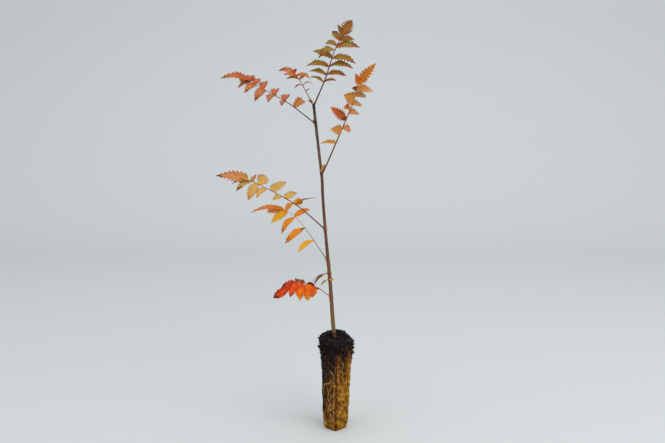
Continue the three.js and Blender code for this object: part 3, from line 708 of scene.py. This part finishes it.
def bark_material():
    """Young bark: the stem's own tints, streaked lengthwise, with pale lenticels set across it."""
    material, tree, shader = new_material("bark")
    space = tree.space()
    streaks = tree.mottled(tree.squashed(space, 0.16), 1400.0, 0.4, 0.62)
    cells = tree.add("TexVoronoi", {"Vector": tree.squashed(space, 0.7), "Scale": 330.0})
    lenticels = tree.ramp(cells.outputs["Distance"], 0.2, 0.1)
    painted = tree.mix(tree.times(streaks["Mask"], 0.45), tree.attribute("tint"), shade("soiled"))
    painted = tree.mix(tree.times(lenticels, 0.6), painted, shade("lenticel"))
    rough = tree.times_plus(streaks["Height"], 0.3, 0.4)
    height = tree.times_plus(lenticels, 0.7, streaks["Height"])
    finish_with(tree, shader, painted, rough, height, depth=0.0003, gloss=0.2)
    return material


def ball_material():
    """The root ball's own tints: crumbly where it is soil, with black gaps between the crumbs as painted
    shade and a few pale grains as painted highlights, and streaked down its sides where it is roots."""
    material, tree, shader = new_material("root_ball")
    space = tree.space()
    mat = tree.attribute("mat", "Fac")
    tint = tree.attribute("tint")
    # Patches of painted shade: the black gaps between the crumbs of soil.
    gaps = tree.mottled(space, 420.0, 0.43, 0.6)
    threads = tree.mottled(tree.squashed(space, 0.14), 900.0, 0.42, 0.6)
    # Pale grains: painted highlights on the moist soil.
    grains = tree.add("TexVoronoi", {"Vector": space, "Scale": 620.0})
    bright = tree.times(tree.ramp(grains.outputs["Distance"], 0.2, 0.08), 0.4)
    crumbly = tree.mix(tree.times(gaps["Mask"], 0.6), tint, shade("crumb_mottle_and_gap_shade"))
    crumbly = tree.mix(bright, crumbly, shade("grain"))
    fibrous = tree.mix(tree.times(threads["Mask"], 0.55), tint, shade("thread"))
    painted = tree.mix(mat, crumbly, fibrous)
    heights = {0: mat, 2: gaps["Height"], 3: threads["Height"]}  # the sockets for numbers
    bumps = tree.add("Mix", heights, data_type="FLOAT").outputs[0]
    rough = tree.times_plus(bumps, 0.15, 0.75)
    finish_with(tree, shader, painted, rough, bumps, depth=0.0008, gloss=0.1)
    return material


# ---------------------------------------------------------------- stem


def stem_point(height):
    """The stem's centre line: a smooth curve through its route."""
    height = np.asarray(height, float)
    sideways = through(STEM_ROUTE[:, 0], STEM_ROUTE[:, 1:], height)
    return np.concatenate([sideways, height[..., None]], axis=-1)


def near_leaf(height, reach):
    """The greatest of the bells about the feet of the leaves."""
    return bell(height[..., None], LEAF_FEET, reach).max(-1)


def stem_radius(height):
    """Taper between the given radii, plus a bell-shaped swelling at each leaf."""
    return np.interp(height, *STEM_RADII.T) * (1 + NODE_SWELLING * near_leaf(height, NODE_REACH))


def stem_tint(height, bearing):
    """The stem's tints by height, olive in patches, and darker and redder just above each leaf."""
    channels = colour(STEM_TINTS[:, 1:]).T
    base = np.stack([np.interp(height, STEM_TINTS[:, 0], channel) for channel in channels], -1)
    patches = ripple(np.stack([bearing * 4, bearing * 0, height * 0.35], -1), 16, 5)
    olive = ease(0.0, 1.4, patches) * (0.14 + 0.31 * ease(300, 230, height))
    base = blend(base, colour("lichen"), olive[..., None])
    knot = blend(colour("knot"), colour("high_knot"), ease(240, 330, height)[..., None])
    near = KNOT_STRENGTH * near_leaf(height - KNOT_RISE, KNOT_REACH) * ease(120, 200, height)
    return blend(base, knot, near[..., None])


def make_stem(material):
    """The stem: a tube with lengthwise wrinkles and raised lenticels."""
    rows, sides = 620, 44
    height = np.linspace(STEM_ROUTE[0, 0], STEM_ROUTE[-1, 0], rows)
    level, turn = np.meshgrid(height, np.arange(sides) * TURN / sides, indexing="ij")
    around = np.stack([np.cos(turn) * 3, np.sin(turn) * 3, level], -1)
    wrinkles = 0.05 * ripple(around * [1, 1, 0.12], 1.6, 1) + 0.04 * ripple(around, 5, 2)
    lenticels = 0.12 * ease(1.9, 2.6, ripple(around * [1, 1, 1.5], 2.2, 3))
    skin = tubes(stem_point(height)[None], (stem_radius(level) + wrinkles + lenticels)[None], FRONT)
    made = piece("stem_bark", skin, material, "bark", tint=stem_tint(level, turn)[None])
    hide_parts("stem")


def make_buds(material):
    """Buds: pointed ovals with three overlapping scales, leaning off the stem."""
    height, bearing, rise, length, radius = BUDS.T
    set_off = 0.6 * stem_radius(height)
    set_off[-1] = 0
    foot = stem_point(height) + compass(bearing) * set_off[:, None]
    share = np.linspace(0, 1, 26)[:, None]
    paths = foot[:, None] + compass(bearing, rise)[:, None] * length[:, None, None] * share
    plump = np.sin(np.pi * (0.35 + 0.63 * share)) ** 0.8
    angle = np.arange(18) * TURN / 18
    scales = 1 + 0.09 * np.sin(3 * angle + 9 * share) * (1 - share)
    skin = tubes(paths, radius[:, None, None] * plump * scales, np.array([0.0, -1.0, 0.15]))
    tint = colour(BUD_TINTS)[:, None, None] * (1 - 0.3 * share[..., None])
    piece("buds", skin, material, "bark", tint=tint)


# ---------------------------------------------------------------- leaves


def stalk_path(leaf):
    """Distances and points up a stalk: unit steps, each the way of the bends there, added up."""
    at, bearing, rise = np.array(leaf["bends"], float).T
    distance = np.linspace(0, at[-1], int(round(at[-1])) + 1)
    middle = (distance[1:] + distance[:-1]) / 2
    steps = compass(np.interp(middle, at, bearing), np.interp(middle, at, rise)) * distance[1]
    points = np.concatenate([np.zeros((1, 3)), np.cumsum(steps, axis=0)])
    return distance, points + stem_point(leaf["foot"])


def leaflet_numbers(leaf):
    """The numbers of a leaf's leaflets, a row each."""
    return np.array([(*row[1:], USUAL_WIDEST)[:8] for row in leaf["leaflets"]], float)


def make_stalk(name, leaf, material):
    """A leaf's stalk: tapering, flared at its foot, thickened a little where leaflets join it."""
    distance, path = stalk_path(leaf)
    share = distance / distance[-1]
    radius = np.interp(share, [0, 1], leaf["radius"]) + leaf["flare"] * np.exp(-distance / FLARE_LENGTH)
    joints = bell(distance[:, None], leaflet_numbers(leaf)[:, 0], JOINT_REACH).max(-1)
    skin = tubes(path[None], (radius + JOINT_SWELLING * joints)[None], FRONT, 12)
    tint = blend(*colour(leaf["stalk"]), ease(0.15, 0.85, share)[:, None, None])
    piece(f"{name}_stalk", skin, material, leaf["slot"], tint=tint[None])


def outline(share, widest):
    """Half a leaflet's width over its greatest: s^a (1 - s)^b, greatest at a / (a + b)."""
    falling = 0.9
    rising = falling * widest / (1 - widest)
    return share**rising * (1 - share) ** falling / (widest**rising * (1 - widest) ** falling)


def leaflet_axes(heading, toward, face):
    """Each leaflet's way, the normal of its upper side, and the direction across it."""
    heading, toward, face = np.radians(heading), np.radians(toward), np.radians(face)
    reach = np.cos(toward)
    way = np.stack([reach * np.cos(heading), -np.sin(toward), reach * np.sin(heading)], -1)
    front = unit(FRONT + way * way[:, 1:2])
    crest = np.cross(way, front) * np.where(np.cos(heading) > 0, -1, 1)[:, None]
    normal = front * np.cos(face)[:, None] + crest * np.sin(face)[:, None]
    return way, normal, np.cross(way, normal)


def make_blades(name, leaf, material, seed):
    """A leaf's leaflets: closed blades of lens section, arched, folded, pleated and toothed.

    Round the section by an angle, across is its sine and the side its cosine. Up each tooth the
    half width grows evenly and then drops back, and the margin leans forward. Pleats follow the
    side veins, the margins wave twice over the length, and the tip curls by the cube of it.
    """
    distance, path = stalk_path(leaf)
    table = leaflet_numbers(leaf)
    at = np.minimum(table[:, 0], distance[-1] - LEAFLETS_STOP_SHORT)
    root = np.stack([np.interp(at, distance, axis) for axis in path.T], -1)
    way, normal, across = (axis[:, None, None] for axis in leaflet_axes(*table[:, 2:5].T))
    length, bow, width, widest = table[:, [1, 5, 6, 7]].T[:, :, None, None]
    random = np.random.default_rng(seed)
    count = len(table)

    stations = TEETH * STATIONS_PER_TOOTH
    s = ((np.arange(stations) + 0.5) / stations)[None, :, None]
    tooth = (s * TEETH) % 1
    angle = np.arange(MARGIN_COLUMNS) * TURN / MARGIN_COLUMNS
    side, over = np.cos(angle), np.sin(angle)
    t = np.abs(over)
    depth = np.full((count, 1, 1), leaf["teeth"][0])
    depth[-1] = leaf["teeth"][1]
    depth = depth * ease(0.0, 0.16, s)

    half = length * leaf["blade"] * width / 2 * outline(s, widest) * (1 + 0.48 * depth)
    breadth = half * over * (1 - depth * (1 - tooth) * t)
    station = s + TOOTH_REACH * (tooth - 0.3) * t**2 * (1 - s) * ease(0, 0.2, s)
    phase = random.uniform(0, TURN, (count, 1, 1))
    wave = 0.08 * half * t**2 * np.sin(2 * TURN * s + phase + np.sign(over))
    pleats = PLEAT * np.cos(TURN * (TEETH * s - VEIN_SLANT * t)) * t**0.5 * (1 - t**8)
    curl = random.uniform(0.02, 0.08, (count, 1, 1)) * length
    lens = BLADE_THICKNESS / 2 * (1 - 0.4 * s) * side + FOLD * half * t**1.3
    lift = 4 * length * bow * station * (1 - station) + wave + pleats + lens - curl * s**3
    rings = root[:, None, None] + way * (length * station)[..., None]
    rings = rings + across * breadth[..., None] + normal * lift[..., None]
    tips = root + way[:, 0, 0] * length[:, :, 0] - normal[:, 0, 0] * curl[:, :, 0]
    skin = skins(rings, root, tips)

    tints = np.stack([colour(row[0]) for row in leaf["leaflets"]], axis=1)
    base, blade, tip = tints[:, :, None, None]
    along = s[..., None] + 0.08 * ripple(rings, 8, seed + 50)[..., None]
    tint = blend(blend(base, blade, ease(0.05, 0.36, along)), tip, ease(0.66, 0.9, along))
    place = np.stack(np.broadcast_arrays(s, over, 0 * rings[..., 0]), -1)
    made = piece(f"{name}_blades", skin, material, leaf["slot"], tint=tint, place=place)
    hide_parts(name)


# ---------------------------------------------------------------- root ball


def ball_radius(bearing, height):
    """A rounded square in plan: the width's half over the norm of the cosine and the sine."""
    angle = np.radians(bearing - BALL_TURN)
    power = BALL_SQUARENESS
    norm = (np.abs(np.cos(angle)) ** power + np.abs(np.sin(angle)) ** power) ** (-1 / power)
    return np.interp(height, *BALL_WIDTHS.T) / 2 * norm


def lumps(bearing, height):
    """Uneven soil, between -1 and 1: crossed waves that close round the ball."""
    angle = np.radians(bearing)
    coarse = 0.45 * np.sin(5 * angle + 0.21 * height) + 0.35 * np.sin(11 * angle - 0.33 * height + 1)
    return coarse + 0.2 * np.sin(17 * angle + 0.55 * height + 2)


def soil_rise(x, y):
    """How far the loose soil stands above the rim: a heap behind the stem on a slope, uneven,
    with a dimple round the stem."""
    heap = bell(x, MOUND_X, MOUND_REACH_X) * bell(y, MOUND_Y, MOUND_REACH_Y)
    dimple = bell(x, STEM_ROUTE[0, 1], DIMPLE_REACH) * bell(y, 0, DIMPLE_REACH)
    slope = MOUND_HEIGHT * heap - SOIL_SLOPE * x - DIMPLE_DEPTH * dimple
    return slope + 0.6 * np.sin(0.55 * x + 1) * np.cos(0.5 * y)


def ball_side(bearing, height, proud=0.0):
    """Points on the ball's side, proud of it by a distance: the moulded form with its lumps."""
    size = blend(FIRM_LUMPS, LOOSE_LUMPS, ease(96, 112, height)) * ease(0, 4, height)
    radius = ball_radius(bearing, height) + size * lumps(bearing, height) + proud
    place = compass(bearing) * radius[..., None]
    place[..., 0] += BALL_LEAN * height / BALL_HEIGHT
    rise = soil_rise(place[..., 0], place[..., 1]) * ease(100, BALL_HEIGHT, height)
    place[..., 2] = height + rise
    return place


def mat_height(bearing):
    """How far up the golden mat of fine roots hides the soil, by bearing."""
    return np.interp(bearing % 360, *MAT_HEIGHTS.T)


def mat_light(bearing, height):
    """How golden the mat is: fully on the right face, brown on the left but for its foot. The left face's
    brown is partly the mat's own colour and partly painted shade.
    """
    return np.interp(bearing % 360, *MAT_LIGHTS.T) + 0.45 * ease(55, 8, height)


def open_mesh(bearing, height):
    """Where the mat is an open mesh, 0 to 1: bells high on the right face and low on the left one,
    over a little of it all round."""
    turn = bearing % 360
    right = 1.15 * bell(turn, 303, 24) * bell(height, 79, 17)
    left = 0.8 * bell(turn, 228, 34, 4) * bell(height, 34, 32, 4)
    return np.maximum(np.maximum(right, left), 0.25)


def nearest_gap(bearing, height):
    """The nearest gap between the roots: how far away it is, its radius, and the way from it.

    One gap lies in each cell of a grid over the unrolled side, moved at random in its cell; the
    nearest is the least distance over the nine cells about a point.
    """
    random = np.random.default_rng(35)
    shift = random.uniform(0.12, 0.88, (GAPS_ROUND, GAPS_UP, 2))
    sizes = random.uniform(0.6, 1.15, (GAPS_ROUND, GAPS_UP))
    across, up = np.broadcast_arrays((bearing % 360) / 360 * GAPS_ROUND, height / GAP_SPACING)
    column, row = np.floor(across).astype(int), np.floor(up).astype(int)
    distance = np.full(across.shape, np.inf)
    radius, away = np.zeros(across.shape), np.zeros((*across.shape, 2))
    for right, above in np.ndindex(3, 3):
        right, above = right - 1, above - 1
        i, j = (column + right) % GAPS_ROUND, np.clip(row + above, 0, GAPS_UP - 1)
        offset = np.stack([across - column - right, up - row - above], -1) - shift[i, j]
        length = np.linalg.norm(offset, axis=-1) * GAP_SPACING
        nearer = length < distance
        distance = np.where(nearer, length, distance)
        radius = np.where(nearer, sizes[i, j], radius)
        away = np.where(nearer[..., None], offset, away)
    wide = radius * (0.15 + 1.75 * open_mesh(bearing, height))
    return distance, wide, away * GAP_SPACING / np.maximum(distance, 1e-6)[..., None]


def pits(bearing, height):
    """Gaps between the roots, 0 to 1: inside the radius of the nearest one. They are painted dark, partly the
    soil seen through them and partly painted shade.
    """
    distance, radius, _ = nearest_gap(bearing, height)
    return ease(1.1, 0.75, distance / radius)[..., None]


def parted(bearing, height, reach=2.5):
    """Bearings and heights of roots moved out of the gaps: of the distances up to a reach from
    the middle of a gap, those inside its radius are spread evenly over the rest."""
    distance, radius, away = nearest_gap(bearing, height)
    moved = np.maximum(radius + distance * (reach - radius) / reach - distance, 0)
    degrees = moved * away[..., 0] / MILLIMETRES_A_DEGREE
    return bearing + degrees, height + moved * away[..., 1]


def seam_share(bearing, height):
    """The dark red seam up the front corner, 0 to 1: a bell across it that wanders a little."""
    wander = 1.2 * np.sin(height * 0.23) + 0.8 * np.sin(height * 0.61)
    return (0.96 * bell(bearing % 360, SEAM_BEARING + wander, SEAM_REACH) * ease(112, 100, height))[..., None]


def ball_tint(points, bearing, height):
    """Near-black soil above, a golden to brown root mat below, and a dark red seam up the corner. The brown
    of the left face is partly painted shade, and the holes in the mat are painted near black, partly as
    shade.

    Returns the colours and the mat's own share.
    """
    turn = bearing % 360
    uneven = 3.5 * ripple(points, 24, 21) + 2.5 * ripple(points, 7, 22)
    mat = ease(-6, 8, mat_height(turn) - height + uneven)[..., None]
    soil = colour("soil") * (1 + 0.35 * ripple(points, 5, 23))[..., None].clip(0.35, 2.2)
    stained = 0.5 * ease(0.2, 1.4, ripple(points, 6, 27)) * ease(112, 96, height)
    soil = blend(soil, colour("stain"), stained[..., None])
    # Low on the left face the mat keeps less of its gold: partly its own colour, partly painted shade.
    turned_left = ease(176, 186, turn) * ease(268, 262, turn)
    light = mat_light(turn, height) - 0.32 * turned_left * ease(55, 8, height)
    light = np.clip(light + 0.16 * ripple(points, 12, 24), 0.05, 1)[..., None]
    fibres = blend(colour("brown_mat"), colour("golden_mat"), light)
    red = ease(0.5, 1.7, ripple(points * [1, 1, 0.3], 6, 26) + 1.2 * bell(turn, 280, 10))
    fibres = blend(fibres, colour("red_mat"), 0.5 * red[..., None])
    # Painted shade: the holes between the roots are near black, darker than the soil seen through them.
    gaps = pits(bearing, height)
    fibres = blend(fibres, colour("gap"), gaps)
    fibres = blend(fibres, colour("seam"), seam_share(bearing, height))
    return blend(soil, fibres, mat), mat * (1 - gaps)


def make_soil(material):
    """The root ball's own skin: flat underside, moulded sides and loose top, all crumbly."""
    sides, down, up, across = 260, 8, 236, 34
    bearing = np.arange(sides) * 360 / sides
    level, turn = np.meshgrid(np.linspace(0, BALL_HEIGHT, up), bearing, indexing="ij")
    side = ball_side(turn, level)
    loose = ease(84, 108, level)
    crumbs = ripple(side, 3.4, 11) + 0.6 * ripple(side, 1.7, 12) + 1.3 * loose * ripple(side, 7, 16)
    crumbs = crumbs * (0.2 + 0.6 * loose) * ease(0, 3, level)
    hollow = pits(turn, level)[..., 0] * ease(-6, 8, mat_height(turn) - level) * ease(0, 6, level)
    side = side + compass(turn) * (crumbs - GAP_DEPTH * hollow)[..., None]
    side[..., 2] += 1.0 * loose * ripple(side, 3.6, 13) * ease(100, 118, level)

    shrink = np.linspace(1, 0, across + 1)[1:-1, None]
    rim = side[-1]
    top = rim * shrink[..., None]
    rim_gap = rim[:, 2] - BALL_HEIGHT - soil_rise(rim[:, 0], rim[:, 1])
    lift = soil_rise(top[..., 0], top[..., 1]) + 0.7 * lumps(turn[:1], 40 * shrink)
    top[..., 2] = BALL_HEIGHT + lift + rim_gap * shrink**6
    top[..., 2] += (0.9 * ripple(top, 3.8, 14) + 0.4 * ripple(top, 1.6, 15)) * ease(0, 0.1, 1 - shrink)
    bottom = side[0] * np.linspace(0, 1, down + 1)[1:-1, None, None]
    rings = np.concatenate([bottom, side, top])
    levels = np.concatenate([0 * bottom[..., 2], level, BALL_HEIGHT + 0 * top[..., 2]])
    tint, mat = ball_tint(rings, np.broadcast_to(bearing, levels.shape), levels)
    summit = np.array([[0.0, 0.0, BALL_HEIGHT + soil_rise(0.0, 0.0)]])
    skin = skins(rings[None], np.zeros((1, 3)), summit)
    made = piece("root_ball_soil", skin, material, "root_ball", 1, tint=tint[None], mat=mat[None])
    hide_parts("root_ball")


def make_crumbs(material):
    """Loose crumbs and clods on the soil's top and rim: small uneven ovals, most near black, and a few pale
    grey ones that are painted highlights on the moist soil.

    Each is a coarse ball with every corner in or out, stretched along three axes of its own.
    """
    random = np.random.default_rng(31)
    count, deepest = 1900, 24
    on_top = random.random(count) < 0.5
    bearing = random.uniform(0, 360, count)
    below = deepest * random.random(count) ** 1.4
    place = ball_side(bearing, np.where(on_top, BALL_HEIGHT, BALL_HEIGHT - below), 0.1)
    inward = np.where(on_top, np.sqrt(random.uniform(0.02, 1.0, count)), 1.0)
    place[:, :2] *= inward[:, None]
    settled = BALL_HEIGHT + soil_rise(place[:, 0], place[:, 1]) + 0.3
    place[:, 2] = np.where(on_top, settled, place[:, 2])
    at_rim = np.where(on_top, inward > 0.86, below < 14 * random.random(count))
    size = random.uniform(0.45, 1.0, count) * np.where(at_rim, random.uniform(0.8, 2.0, count), 1)
    size = size * np.where(on_top, 1, 1 - 0.5 * below / deepest)
    place = np.concatenate([place, ball_side(CLODS[:, 0], CLODS[:, 1], -0.1)])
    size = np.append(size, CLODS[:, 2])[:, None]
    count = len(place)

    rows, sides = 3, 6
    polar = (np.pi * (np.arange(rows) + 1) / (rows + 1))[:, None]
    angle = np.arange(sides) * TURN / sides
    ball = [np.sin(polar) * np.cos(angle), np.sin(polar) * np.sin(angle), -np.cos(polar) + 0 * angle]
    stretch = random.uniform(0.55, 1.25, (count, 1, 1, 3))
    axes = unit(random.normal(size=(count, 3)))
    helper = unit(np.cross(axes, random.normal(size=(count, 3))))
    turned = np.stack([helper, np.cross(axes, helper), axes], 1)
    uneven = random.uniform(0.78, 1.18, (count, rows, sides, 1))
    rings = np.einsum("krsi,kij->krsj", np.stack(ball, -1) * stretch * uneven, turned)
    pole = axes * stretch[:, 0, 0, 2:] * size
    skin = skins(place[:, None, None] + rings * size[:, None, None], place - pole, place + pole)
    # The pale grey kind is painted highlight, not a crumb colour.
    kinds = colour("black_crumb grey_crumb red_crumb ash_crumb")
    kind = random.choice(4, count, p=[0.5, 0.32, 0.1, 0.08])
    kind[-len(CLODS) :] %= 2
    piece("soil_crumbs", skin, material, "root_ball", 1, tint=kinds[kind][:, None, None])


def winding(random, count, points, start, fall, wander, curl, loops):
    """Bearings and heights of fine roots: a fall with a drift, and circles rolled along it."""
    share = np.linspace(0, 1, points)[None]
    phase = random.uniform(0, TURN, (count, 1))
    turns = TURN * random.uniform(*loops, (count, 1)) * random.choice([-1, 1], (count, 1)) * share + phase
    curl = curl * random.uniform(0.3, 1.5, (count, 1)) * (0.6 + 0.4 * np.sin(2.3 * turns / loops[1] + phase))
    bearing = start[0] + wander * random.normal(size=(count, 1)) * share + curl * np.sin(turns)
    height = start[1] - fall * share + curl * MILLIMETRES_A_DEGREE * np.cos(turns)
    return bearing, height


def make_roots(name, material, tints, bearing, height, radius, proud, sides, shaded=0.0):
    """Fine roots on the ball's side: tubes half sunk in it, thin at both ends.

    A shaded share of their tone goes where the mat is brown, which is partly painted shade, near its upper
    edge and in the open mesh; over a gap a shaded share of their tint is taken off as painted shadow.
    """
    if shaded:
        bearing, height = parted(bearing, height)
    height = np.clip(height, radius.max() + 0.3, BALL_HEIGHT - 1)
    paths = ball_side(bearing, height, proud)
    share = np.linspace(0, 1, bearing.shape[1])
    taper = 0.15 + 0.85 * ease(0, 0.06, share) * ease(0, 0.12, 1 - share)
    skin = tubes(paths, radius[:, None] * taper, compass(bearing), sides)
    tone = np.random.default_rng(len(paths)).random((len(paths), 1))
    tone = tone + 0.25 * ripple(paths, 9, 44) + 0.25 * ripple(paths, 4, 45)
    bright = np.clip(mat_light(bearing, height), 0, 1) * (1 - 0.3 * open_mesh(bearing, height))
    bright = bright * (0.3 + 0.7 * ease(-4, 16, mat_height(bearing) - height))
    tone = np.clip(tone * (1 - shaded * (1 - bright)), 0, 1)
    # Painted shadow: a root that crosses a gap is darkened.
    tint = blend(*colour(tints), tone[..., None]) * (1 - shaded * pits(bearing, height))
    tint = blend(tint, colour("seam_root"), 0.95 * seam_share(bearing, height))
    piece(name, skin, material, "root_ball", 1, tint=tint[:, :, None])


def root_mats(material):
    """The mat of fine roots: golden ones low down, brown ones over the darker faces, pale ones
    that wind and loop over both, a few dark ones higher up, the main roots, and those that wind."""
    random = np.random.default_rng(41)

    def strew(
        name, tints, count, starts, falls, points, wander, curl, loops, radii, proud, sides,
        shaded=0.0, above=0.0, golden=None,
    ):
        """Windings that start at random heights of the mat, all or only on its golden faces."""
        bearing = random.uniform(0, 360, (count, 1))
        share = random.uniform(*starts, (count, 1))
        height = (mat_height(bearing) + above) * share
        keep = random.random(count) > 0.85 * open_mesh(bearing, height)[:, 0]
        if golden is not None:
            keep &= (mat_light(bearing, height) > 0.42)[:, 0] == golden
        start, count = (bearing[keep], height[keep]), int(keep.sum())
        fall = random.uniform(*falls, (count, 1))
        routes = winding(random, count, points, start, fall, wander, curl, loops)
        radius = random.uniform(*radii, count)
        make_roots(name, material, tints, *routes, radius, proud, sides, shaded)

    strew(
        "golden_roots", "ginger saffron", count=1150, starts=(0.1, 1.06), falls=(2, 20), points=22,
        wander=12, curl=5.5, loops=(0.5, 2.2), radii=(0.2, 0.4), proud=0.1, sides=4, shaded=0.95, golden=True,
    )
    strew(
        "brown_roots", "tar acorn", count=440, starts=(0.1, 1.05), falls=(3, 22), points=22,
        wander=14, curl=7, loops=(0.5, 2.2), radii=(0.18, 0.36), proud=0.1, sides=4, shaded=0.8, golden=False,
    )
    strew(
        "pale_roots", "oak flax", count=120, starts=(0.2, 0.95), falls=(6, 34), points=56,
        wander=18, curl=8, loops=(0.8, 3.0), radii=(0.22, 0.42), proud=0.35, sides=5, shaded=0.65, above=2,
    )
    strew(
        "dark_roots", "loam hazel", count=150, starts=(0.95, 1.35), falls=(6, 26), points=26,
        wander=14, curl=8, loops=(0.5, 2.0), radii=(0.16, 0.3), proud=0.25, sides=4, above=10,
    )

    share = np.linspace(0, 1, 60)
    top_bearing, drift, top, foot, radius = MAIN_ROOTS.T[:, :, None]
    height = blend(top, foot, share)
    bearing = top_bearing + drift * share + ROOT_WANDER * np.sin(ROOT_WINDING * height + top_bearing)
    radius = MAIN_ROOTS_SHOWN * radius[:, 0]
    make_roots(
        "main_roots", material, "teak caramel", bearing, height, radius, proud=0.15, sides=8, shaded=0.3
    )
    wound = [through(np.linspace(0, 1, len(route)), np.array(route, float), share) for route in WINDING_ROOTS]
    bearing, height = np.moveaxis(np.array(wound), -1, 0)
    radius = np.full(len(wound), WINDING_RADIUS)
    make_roots("winding_roots", material, "walnut wheat", bearing, height, radius, proud=0.55, sides=8)


def make_fibres(material):
    """Hair roots that stick out of the rim and the upper sides: out, along and drooping."""
    random = np.random.default_rng(51)
    count = 460
    bearing = random.uniform(0, 360, (count, 1))
    height = BALL_HEIGHT - 22 * random.random((count, 1)) ** 1.7
    share = np.linspace(0, 1, 9)[None]
    length = random.uniform(2.0, 7.5, (count, 1))
    out = share * length * random.uniform(0.3, 0.8, (count, 1))
    spin = bearing + random.uniform(-16, 16, (count, 1)) * share
    level = height + length * (random.uniform(-0.4, 0.8, (count, 1)) * share - 0.5 * share**2)
    paths = ball_side(spin, np.minimum(level, BALL_HEIGHT), 0) + compass(spin) * (out - 0.4)[..., None]
    paths[..., 2] += np.maximum(level - BALL_HEIGHT, 0)
    radius = random.uniform(0.14, 0.34, (count, 1)) * (1 - 0.6 * share)
    skin = tubes(paths, radius, np.array([0.0, 0.0, 1.0]), 4)
    kinds = colour("dark_hair brown_hair pale_hair")
    kind = random.choice(3, count, p=[0.6, 0.28, 0.12])
    piece("hair_roots", skin, material, "root_ball", 1, tint=kinds[kind][:, None, None])


# ---------------------------------------------------------------- the plant

mottle = mottle_group()
tissue = leaf_tissue_group()
stalks = tinted_material("stalk", "stalk_shade", scale=700.0, share=0.25, roughness=0.5, depth=0.0001)
roots = tinted_material("roots", "root_shade", scale=500.0, share=0.45, roughness=0.7, depth=0.0002)
crumb = tinted_material("crumb", "crumb_mottle_and_gap_shade", scale=600.0, share=0.5, roughness=0.8, depth=0.0004)

make_stem(bark_material())
make_buds(stalks)
make_soil(ball_material())
make_crumbs(crumb)
root_mats(roots)
make_fibres(roots)
for seed, (leaf_name, leaf) in enumerate(LEAVES.items()):
    make_stalk(leaf_name, leaf, stalks)
    make_blades(leaf_name, leaf, leaf_material(leaf["slot"] + "_" + leaf_name, leaf), seed + 60)

# ---------------------------------------------------------------- floor, light and camera


def make_stage():
    """A pale floor that curves up into a wall behind: a level line, a quarter circle and a rise."""
    material, _, shader = new_material("paper")
    shader["Base Color"].default_value = shade("paper")
    shader["Roughness"].default_value = 0.9
    shader["Specular IOR Level"].default_value = 0.1
    bend, radius, back = np.linspace(0, np.pi / 2, 24), 0.7, 1.1
    y = np.concatenate([[-3.0], back + radius * np.sin(bend), [back + radius]])
    z = np.concatenate([[0.0], radius * (1 - np.cos(bend)), [4.0]])
    half_width = 4.0
    points = [(side * half_width, along, up) for along, up in zip(y, z) for side in (-1, 1)]
    faces = np.arange(len(y) - 1)[:, None] * 2 + [0, 1, 3, 2]
    mesh = bpy.data.meshes.new("backdrop")
    mesh.from_pydata(points, [], faces.tolist())
    mesh.polygons.foreach_set("use_smooth", np.ones(len(faces), bool))
    mesh.materials.append(material)
    backdrop = bpy.data.objects.new("backdrop", mesh)
    bpy.context.scene.collection.objects.link(backdrop)


def make_light(name, place, size, power, target=(0, 0, 0.25), tint=(1, 1, 1)):
    """A square lamp that faces its target."""
    lamp = bpy.data.lights.new(name, "AREA")
    lamp.size = size
    lamp.energy = power
    lamp.color = tint
    holder = bpy.data.objects.new(name, lamp)
    holder.location = place
    holder.rotation_euler = (Vector(target) - Vector(place)).to_track_quat("-Z", "Y").to_euler()
    bpy.context.scene.collection.objects.link(holder)


def make_camera():
    """The view from the front, a little above: pitched down, with the frame 665 wide."""
    camera = bpy.data.objects.new("camera", bpy.data.cameras.new("camera"))
    frame_width, focal_pixels, pitch = 665, 800, 9.6
    camera.data.sensor_width = 36
    camera.data.lens = focal_pixels / frame_width * camera.data.sensor_width
    camera.location = (-0.004, -1.0, 0.445)
    camera.rotation_euler = (np.radians(90 - pitch), 0, 0)
    bpy.context.scene.collection.objects.link(camera)
    bpy.context.scene.camera = camera


make_stage()
make_light("key", (1.1, -1.2, 1.5), size=1.9, power=24, tint=(1, 0.98, 0.95))
make_light("fill", (-1.3, -1.0, 0.9), size=1.4, power=4.5)
make_light("wall", (0.0, 0.2, 2.2), size=1.6, power=12, target=(0, 1.2, 0.3))
world = bpy.data.worlds.new("sky")
world.use_nodes = True
sky = world.node_tree.nodes["Background"].inputs
sky["Color"].default_value = (0.96, 0.98, 1.0, 1)
sky["Strength"].default_value = 0.76
bpy.context.scene.world = world
bpy.context.scene.view_settings.view_transform = "Standard"
make_camera()
